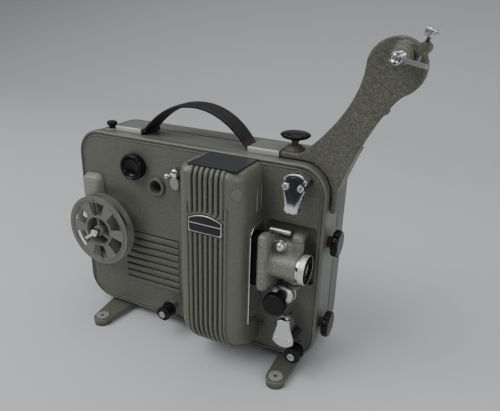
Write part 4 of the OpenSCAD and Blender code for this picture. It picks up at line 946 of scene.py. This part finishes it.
def buildCarrier():
    carrier, ring, lugs = Reach("lens_carrier"), Reach("focus_ring"), Reach("carrier_hinge_pins")
    x, out = lens["hinge"]
    right = Reach("pressure_plate").x1 + 10.0
    bar, edge = lens["bar"]
    end = ring.x0 - right
    form = Form()
    form.softBox((carrier.x0, right), (carrier.h0, carrier.h1), (bar, carrier.out1), edge, 6)
    form.softBox((carrier.x0, right), (carrier.h0 + 1, carrier.h1 - 5), (carrier.out0 + 1.5, bar + 5), 1.5)
    form.softBox((right - 4, x - 1), (ring.h, lugs.h1 - 3.4), (6, lens["bridge"]), 1.5)
    form.turned([(10.05, 0), (12.9, 0), (12.6, 4), (12.5, 8), (12.5, end + 0.6), (12.1, end + 1.4),
                 (10.05, end + 1.4)], at(right - 2.4, ring.h, ring.out), beam, 96)
    r = lens["ear"]
    for low, high in ((ring.h + 8, lugs.h1 - 3.6), (lugs.h0 + 3.6, ring.h - 9)):
        form.turned([(2.6, low), (r, low), (r, high), (2.6, high)], at(x, 0, out), upward)
        form.softBox((x - 9, x), (low, low + 8) if low > ring.h else (high - 8, high), (6, 16), 1.0)
    recast("lens_carrier", "lensPaint", 0.5, 10, form.mesh("carrierForm"))
    r = lens["ear"] - 0.2
    pin = [(0, -3.2), (r, -3.2)] + dome(r, 3.4)
    lathe("hingeDome", "lensPaint", "case", pin, at(x, lugs.h1, out), upward, 48)
    rod = Reach("carrier_rod")
    long = rod.half * 2 + 5.4
    bolt = [(0, 0), (2.3, 0), (2.3, long), (0, long)]
    place = at(rod.x0 - 5, rod.h + 1.6, rod.out)
    lathe("carrierRod", "steel", "lens_carrier", bolt, place, beam, 32, ("carrier_rod",))
    x, h, r = lens["button"]
    knob = [(0, -1), (r, -1), (r, 1.2), (r * 0.92, 1.6)] + dome(r * 0.92, 4.6, 1.8)
    place = at(x, h, lens["bridge"])
    lathe("carrierButton", "aluminium", "lens_carrier", knob, place, (0, -1, 0.12), 48, ("carrier_knob",))


def buildLens():
    ring, pair = Reach("focus_ring"), Reach("lens_glasses")
    origin = at(ring.x0, ring.h, ring.out)
    wide = (ring.h1 - ring.h0) / 2
    bore, back, deep = lens["bore"], lens["ringBack"], ring.half * 2
    bezel = wide - lens["rim"]
    collar = [(bore, -1), (12.2, -1), (12.4, -0.6), (12.4, back), (bore, back)]
    lathe("focusCollar", "chrome", "focus_ring", collar, origin, beam)
    grip = [(bore, back), (wide - 0.5, back), (wide, back + 0.5), (wide, deep - 0.4), (wide - 0.4, deep),
            (bezel, deep), (bezel, deep - 1.5), (bore, deep - 1.5)]
    lathe("focusGrip", "paleMetal", "focus_ring", grip, origin, beam, 96, ("focus_ring",))
    seat = bezel - 0.05
    steps = [(bore, deep - 1.6), (seat, deep - 1.6), (seat, deep - 0.3), (bezel - 0.6, deep - 0.1),
             (11.4, deep - 0.5), (11.2, deep - 0.9), (10.7, deep - 0.9), (10.5, deep - 1.2),
             (bore, deep - 1.2)]
    lathe("lensBezel", "opticBlack", "focus_ring", steps, origin, beam)
    bowl = dome(lens["glass"], 0.9, 0.2)
    element = bowl[::-1] + [(r, -h) for r, h in bowl]
    glasses = Form()
    for x, sign in ((pair.x0 + 1.2, -1), (pair.x1 - 1.2, 1)):
        glasses.turned(element, at(x, pair.h, pair.out), (sign, 0, 0))
    glasses.keep("lensElements", "glass", "lens", ("lens_glasses",))


buildGate()
buildCarrier()
buildLens()
print("gate and lens built")


# film shoes

shoe = {"skirt": 9.0, "thin": 1.2, "edge": 1.6, "screwSide": 6.8, "screwRise": 15.0, "lip": 11.0,
        "crown": 1.0, "trim": 1.3, "bead": 0.4, "arch": 14.0, "toe": 3.0}


def shoeOutline(rise, foot):  # seen from the front, its wide end up, the sprocket's axis at zero
    head, neck = shoe["screwSide"] + 3.6, shoe["lip"] / 2 + 0.5
    crown, toe = shoe["arch"], shoe["toe"]
    lean = math.degrees(math.acos(head / crown))
    corner = arc((neck - toe, toe - foot), toe, 270, 360, 6)
    tall = shoe["screwRise"] + 1
    flank = [Vector((neck + (head - neck) * k / 6, tall * (k / 6) ** 0.8 - 2)) for k in range(6)]
    top = arc((0, shoe["screwRise"] + rise - crown), crown, lean, 180 - lean, 28)

    def mirrored(points):
        return [Vector((-p.x, p.y)) for p in reversed(points)]

    return mirrored(corner) + corner + flank + top + mirrored(flank)


def buildShoe(node, sprocket, flip, roll, screw):
    box, drum = Reach(node), Reach(sprocket)
    up, down = (box.h1 - drum.h, drum.h - box.h0)[::flip]
    rise, foot = up - shoe["screwRise"], down - shoe["trim"]
    outline = shoeOutline(rise, foot)
    pairs = list(zip(outline, inward(outline)))
    front, edge, thin = box.out1, shoe["edge"], shoe["thin"]
    back = front - 2.0
    tall = foot + up

    def face(p):  # the front rolls back towards the wide end and falls off to the sides
        along = max(0.0, (p.y + foot) / tall - 0.1) / 0.9
        return front - roll * along ** 1.25 - shoe["crown"] * (p.x / 10.4) ** 2

    def hem(p):  # how far the skirt reaches back at a point of the outline
        crown = min(1.0, max(0.0, (p.y - shoe["screwRise"]) / 3.0))
        return min(back, face(p) - edge - 0.4) - shoe["skirt"] * crown

    def placed(ring):
        return [at(drum.x + p.x, drum.h + flip * p.y, out) for p, out in ring]

    rings = [[(p + n * thin, min(back, face(p) - 1.4)) for p, n in pairs],
             [(p + n * thin, hem(p)) for p, n in pairs],
             [(p, hem(p)) for p in outline]]
    for i in range(6):
        a = math.pi / 2 * i / 5
        inset, drop = edge * (1 - math.cos(a)), edge * (1 - math.sin(a))
        rings.append([(p + n * inset, face(p) - drop) for p, n in pairs])
    middle = Vector((0, shoe["screwRise"] * 0.55))
    for k in range(1, 12):
        level = [(p + n * edge).lerp(middle, k / 12) for p, n in pairs]
        rings.append([(p, face(p)) for p in level])
    cover = Form().skin([placed(ring) for ring in rings])
    half = shoe["lip"] / 2
    lip = sorted((drum.h - flip * foot, drum.h - flip * (foot - 1.3)))
    cover.softBox((drum.x - half, drum.x + half), lip, (front - 12.4, front - 1.5), 0.4, 2)
    cover.tube(placed([(p + n * 0.7, face(p) - 0.25) for p, n in pairs]), shoe["bead"], 8, True)
    cover.keep(node + "Cover", "chrome", node, (node,), 50)
    side, high = shoe["screwSide"], drum.h + flip * shoe["screwRise"]
    low, end = box.out0 + 0.02, back - 1.6
    barrel = [(2.1, low), (3.6, low), (3.6, end), (2.1, end)]
    lathe(node + "Barrel", "slate", node, barrel, at(drum.x + side, high, 0), segments=32)
    seat = max(face(Vector((side, shoe["screwRise"]))) - 0.2, front - 2.7)  # clear of the hinge pin
    places = [at(drum.x + s * side, high, seat) for s in (-1, 1)]
    addScrews(node + "Screws", node, screw - 0.5, places, forward)
    collar = [(screw - 0.9, -0.6), (screw, -0.6), (screw, 0.3), (screw - 0.35, 0.7), (screw - 0.7, 0.5),
              (screw - 0.9, -0.2)]
    seats = Form()
    for place in places:
        seats.turned(collar, place, forward, 40)
    seats.keep(node + "Seats", "chrome", node)


buildShoe("upper_shoe", "upper_sprocket", 1, 6.4, 2.9)
buildShoe("lower_shoe", "lower_sprocket", -1, 0.8, 1.9)
print("film shoes formed")


# controls

control = {"ridges": 44, "neck": 9.5, "paddle": (5.2, 6.4), "arcs": (6.8, 9.2, 11.6), "arcBar": 0.7,
           "ball": 2.8, "socketBore": 6.7, "leverArm": (9.5, 205.0)}


def buildInching():
    collar, knob = Reach("inching_collar"), Reach("inching_knob")
    cup = [(4.1, 0), (12, 0), (12, 2.2), (11.4, 2.8), (11.4, 5.2), (11.0, 7.2), (9.8, 9.2), (7.6, 10.6),
           (6, 11), (4.1, 11)]
    lathe("inchingDome", "aluminium", "case", cup, at(collar.x, collar.h, 0), stands=("inching_collar",))
    r, neck = knob.half, control["neck"]
    start = collar.out1 + 0.4
    long = knob.out1 - start
    grip = [(0, -6), (3.9, -6), (3.9, 0), (5.6, 0), (5.8, neck - 2), (7.4, neck - 0.8), (r - 1.2, neck),
            (r - 0.4, neck + 1.0), (r - 0.35, long - 1.6), (r - 1.4, long - 0.4), (r - 2.6, long),
            (6, long - 0.5), (0, long - 0.7)]
    place = at(knob.x, knob.h, start)
    lathe("inchingGrip", "mattBakelite", "inching_knob", grip, place, forward, 96, ("inching_knob",))
    middle = at(knob.x, knob.h, start + (long + neck - 0.4) / 2)
    grips.add("inchingRidges", "mattBakelite", "inching_knob", {
        "Count": control["ridges"], "Radius": r - 0.45, "Length": long - neck - 1.6, "Ridge": 0.45,
        "Centre": tuple(middle), "Lean": (math.pi / 2, 0.0, 0.0)})


def buildLever():
    lever = Reach("lamp_lever")
    x, h = lever.x1 - 5.0, lever.h1 - 4.6  # the lever's own axis
    stub = [(0, -2), (2.9, -2), (2.9, 0.4), (4.6, 0.4), (4.6, 4.6), (4.0, 6.2), (2.6, 7.1), (0, 7.4)]
    hub = Form().turned(stub, at(x, h, 0), forward, 48)
    reach, turn = control["leverArm"]
    turn = math.radians(turn)
    end = at(x + reach * math.cos(turn), h + reach * math.sin(turn), 4.9)
    hub.tube([at(x, h, 4.9), end], 1.4)
    bmesh.ops.create_uvsphere(
        hub.bm, u_segments=24, v_segments=16, radius=control["ball"] * mm, matrix=Matrix.Translation(end))
    hub.tube([at(x, h, 4.0), at(x + 1.6, h - 7, 4.4)], 2.0)
    hub.keep("leverHub", "chrome", "lamp_lever", ("lamp_lever",))
    rx, ry = control["paddle"]
    turns = [2 * math.pi * i / 40 for i in range(40)]
    low = h - 10.2
    oval = [Vector((x + 0.8 + rx * math.cos(t) - 0.8 * math.sin(t), low + ry * math.sin(t))) for t in turns]
    Form().roundedPlate(oval, 2.8, 6.6, 1.2).keep("leverPaddle", "paleGrey", "lamp_lever")
    arcs = Form()
    for r in control["arcs"]:
        arcs.tube([at(p.x, p.y, 0.1) for p in arc((x + 1.5, h), r, 25, 110, 24)], control["arcBar"])
    arcs.keep("leverArcs", "paint", "case")


def buildSwitch():
    switch, socket = Reach("switch_knob"), Reach("panel_socket")
    r = switch.half
    rim = [(0, 0.4), (r - 0.8, 0.4), (r - 0.1, 1.2), (r, 6.6), (r - 0.4, 8.1), (r - 1.2, 9.0), (r - 2.1, 9.1),
           (r - 2.9, 8.4)]
    dish = rim + dome(r - 3.4, -4.2, 7.8, 12)
    place = at(switch.x, switch.h, 0)
    lathe("switchDish", "bakelite", "switch_knob", dish, place, forward, 80, ("switch_knob",))
    r = control["socketBore"]
    place = at(socket.x, socket.h, 0)
    sleeve = [(3.4, -10), (r, -10), (r, 0.6), (r - 0.5, 0.6), (r - 0.6, -8.6), (3.4, -8.8)]
    lathe("socketLining", "paint", "case", sleeve, place)
    core = [(0, -12), (4, -12), (4, -10.2), (0, -10.2)]
    lathe("socketCore", "opticBlack", "case", core, place, segments=32)


buildInching()
buildLever()
buildSwitch()
print("controls dressed")


# knobs, housing, legs and reel

housing = {"size": (25.0, 104.0), "corner": 8.0, "lean": 2.0}
reelSlots = {"turns": (95.0, 275.0), "half": 0.5, "from": 16.6, "short": 1.8}


def buildKnobs():
    for node in ("upper_side_knob", "lower_side_knob"):
        recast(node, "sideBakelite", 0.5, 6)
    cap, star = Reach("top_button"), Reach("star_knob")
    r = cap.half
    push = [(0, -9), (2.9, -9), (2.9, 0), (r - 1.2, 0), (r - 0.3, 0.4), (r, 1.3), (r, 3.2), (r - 0.4, 4.1),
            (r - 1.5, 4.6), (0, 4.6)]
    place = at(cap.x, cap.h1 - 4.6, cap.out)
    lathe("buttonCap", "bakelite", "top_button", push, place, upward, stands=("top_button",), sharp=60)
    r = (star.out1 - star.out0) / 2
    wheel = [(0, -20), (3, -20), (3, -3.2), (4.0, -2.2), (6.0, -0.8), (10, 0.2), (r - 1.5, 1.0),
             (r - 0.3, 2.1), (r, 3.0), (r - 0.4, 3.9), (r - 2.2, 4.8), (r - 5.5, 5.5), (4, 5.8), (0, 5.8)]
    disc = Form().fluted(wheel, at(star.x, star.h1 - 5.8, star.out), 10, 0.1)
    disc.keep("starDisc", "starBakelite", "star_knob", ("star_knob",), 60)


def buildHousing():
    bar, seat = Reach("take_up_housing"), Reach("take_up_spindle")
    wide, tall = (side / 2 for side in housing["size"])
    middle = Vector((bar.x0 + wide + 0.6, bar.h1 - tall - 0.6))
    turn = Matrix.Rotation(math.radians(housing["lean"]), 2)
    flat = roundedCorners(wide, tall, housing["corner"], 10)
    pairs = [(middle + turn @ p, turn @ n) for p, n in zip(flat, inward(flat))]
    steps = [(0, 0.1), (0.1, 0.8), (0.9, 3.2), (1.9, 5.6), (2.6, 6.8), (3.6, 7.6), (5.0, 8.0)]
    cover = Form().skin([[at(*(p + n * inset), out) for p, n in pairs] for inset, out in steps])
    boss = [(4, 0.1), (17, 0.1), (16.6, 4), (15.6, 6.6), (14, 7.9), (4, 7.9)]
    cover.turned(boss, at(seat.x, seat.h, 0), forward, 72)
    cover.keep("takeUpShell", "housingPaint", "case", ("take_up_housing",), 60)


def buildReel():
    reel = Reach("take_up_reel")
    edge, middle, face = reel.half, Vector((reel.x, reel.h)), reel.out1
    beads = Form()
    for r, out, bar in ((edge - 0.7, face - 0.5, 0.75), (edge - 0.7, reel.out0 + 0.5, 0.75),
                        (edge - 3.4, face, 0.5), (edge - 5.4, face, 0.5), (15.4, face, 0.6)):
        beads.tube([at(p.x, p.y, out) for p in arc(middle, r, 0, 360, 96)[:-1]], bar, 10, True)
    beads.keep("reelBeads", "reel_grey", "take_up")
    darkStrips = Form()
    for turn in reelSlots["turns"]:
        along = Vector((math.cos(math.radians(turn)), math.sin(math.radians(turn))))
        side = Vector((-along.y, along.x)) * reelSlots["half"]
        near, far = middle + along * reelSlots["from"], middle + along * (edge - reelSlots["short"])
        slot = [near - side, far - side, far + side, near + side]
        darkStrips.skin([[at(*p, out) for p in slot] for out in (face - 0.4, face + 0.04)])
    darkStrips.keep("reelSlots", "opticBlack", "take_up")


buildKnobs()
buildHousing()
buildReel()
for leg in ("left_leg", "right_leg"):
    recast(leg, "hammertone", 0.7, 4)
print("castings softened")


# studio

studio = {"floor": (0.59, 0.597, 0.61), "key": 29.0, "fill": 8.0, "rim": 9.0, "sky": 0.41, "fall": 0.62,
          "light": (0.95, 0.97, 1.0), "dark": (0.07, 0.07, 0.075), "half": 12.0}


def layFloor():
    finish = Finish("paleFloor")
    pale = studio["floor"]
    # the backdrop is painted darker as it rises: painted shade for the light falling off up the backdrop
    rise = finish.clip(finish.axis(finish.spot(), "Z"), 0.0, 0.5)
    cover = finish.blend(finish.noise(9, 3.0), darker(pale, 0.96), pale)
    finish.set(Base_Color=finish.blend(rise, cover, darker(pale, studio["fall"])), Roughness=0.85)
    bm = bmesh.new()
    rows = []
    for i in range(25):  # a floor that rises softly into a backdrop
        a = math.radians(90 * max(0, i - 10) / 13)
        y, z = (-2.2 + i * 0.33, 0.0) if i < 10 else (0.95 + 0.9 * math.sin(a), 0.9 * (1 - math.cos(a)))
        y, z = (1.85, 3.2) if i == 24 else (y, z)
        rows.append([bm.verts.new((x, y, z)) for x in (-studio["half"], studio["half"])])
    for a, b in zip(rows, rows[1:]):
        bm.faces.new((a[0], a[1], b[1], b[0]))
    mesh = bpy.data.meshes.new("floor")
    bm.to_mesh(mesh)
    bm.free()
    mesh.shade_smooth()
    mesh.materials.append(finish.material)
    floor = bpy.data.objects.new("floor", mesh)
    scene.collection.objects.link(floor)


def hangLights():
    for name, place, height, size, power in (
            ("keyLight", (-0.9, -1.0, 1.7), 0.12, 1.5, studio["key"]),
            ("fillLight", (1.5, -0.9, 0.9), 0.12, 1.2, studio["fill"]),
            ("topLight", (0.2, 0.5, 1.9), 0.1, 1.4, studio["rim"])):
        light = bpy.data.lights.new(name, "AREA")
        light.size = size
        light.energy = power
        lamp = bpy.data.objects.new(name, light)
        lamp.location = place
        lamp.visible_camera = False
        lamp.rotation_euler = (Vector((0, 0, height)) - Vector(place)).to_track_quat("-Z", "Y").to_euler()
        scene.collection.objects.link(lamp)


def lightSky():
    world = bpy.data.worlds.new("studio")
    scene.world = world
    world.use_nodes = True
    sky = Bench()
    sky.tree = world.node_tree
    side = sky.node("ShaderNodeTexCoord")
    front = (sky.axis(side, "Y") * -1.6 - 0.2).atLeast(0.0).atMost(1.0)
    high = (sky.axis(side, "Z") * 4 - 1.6).atLeast(0.0).atMost(1.0)
    tones = {0: front * (1 - high), 6: studio["light"], 7: studio["dark"]}
    room = world.node_tree.nodes["Background"]
    sky.feed(room.inputs["Color"], sky.node("ShaderNodeMix", {"data_type": "RGBA"}, tones, out=2))
    room.inputs["Strength"].default_value = studio["sky"]


layFloor()
hangLights()
lightSky()
print("studio lit")
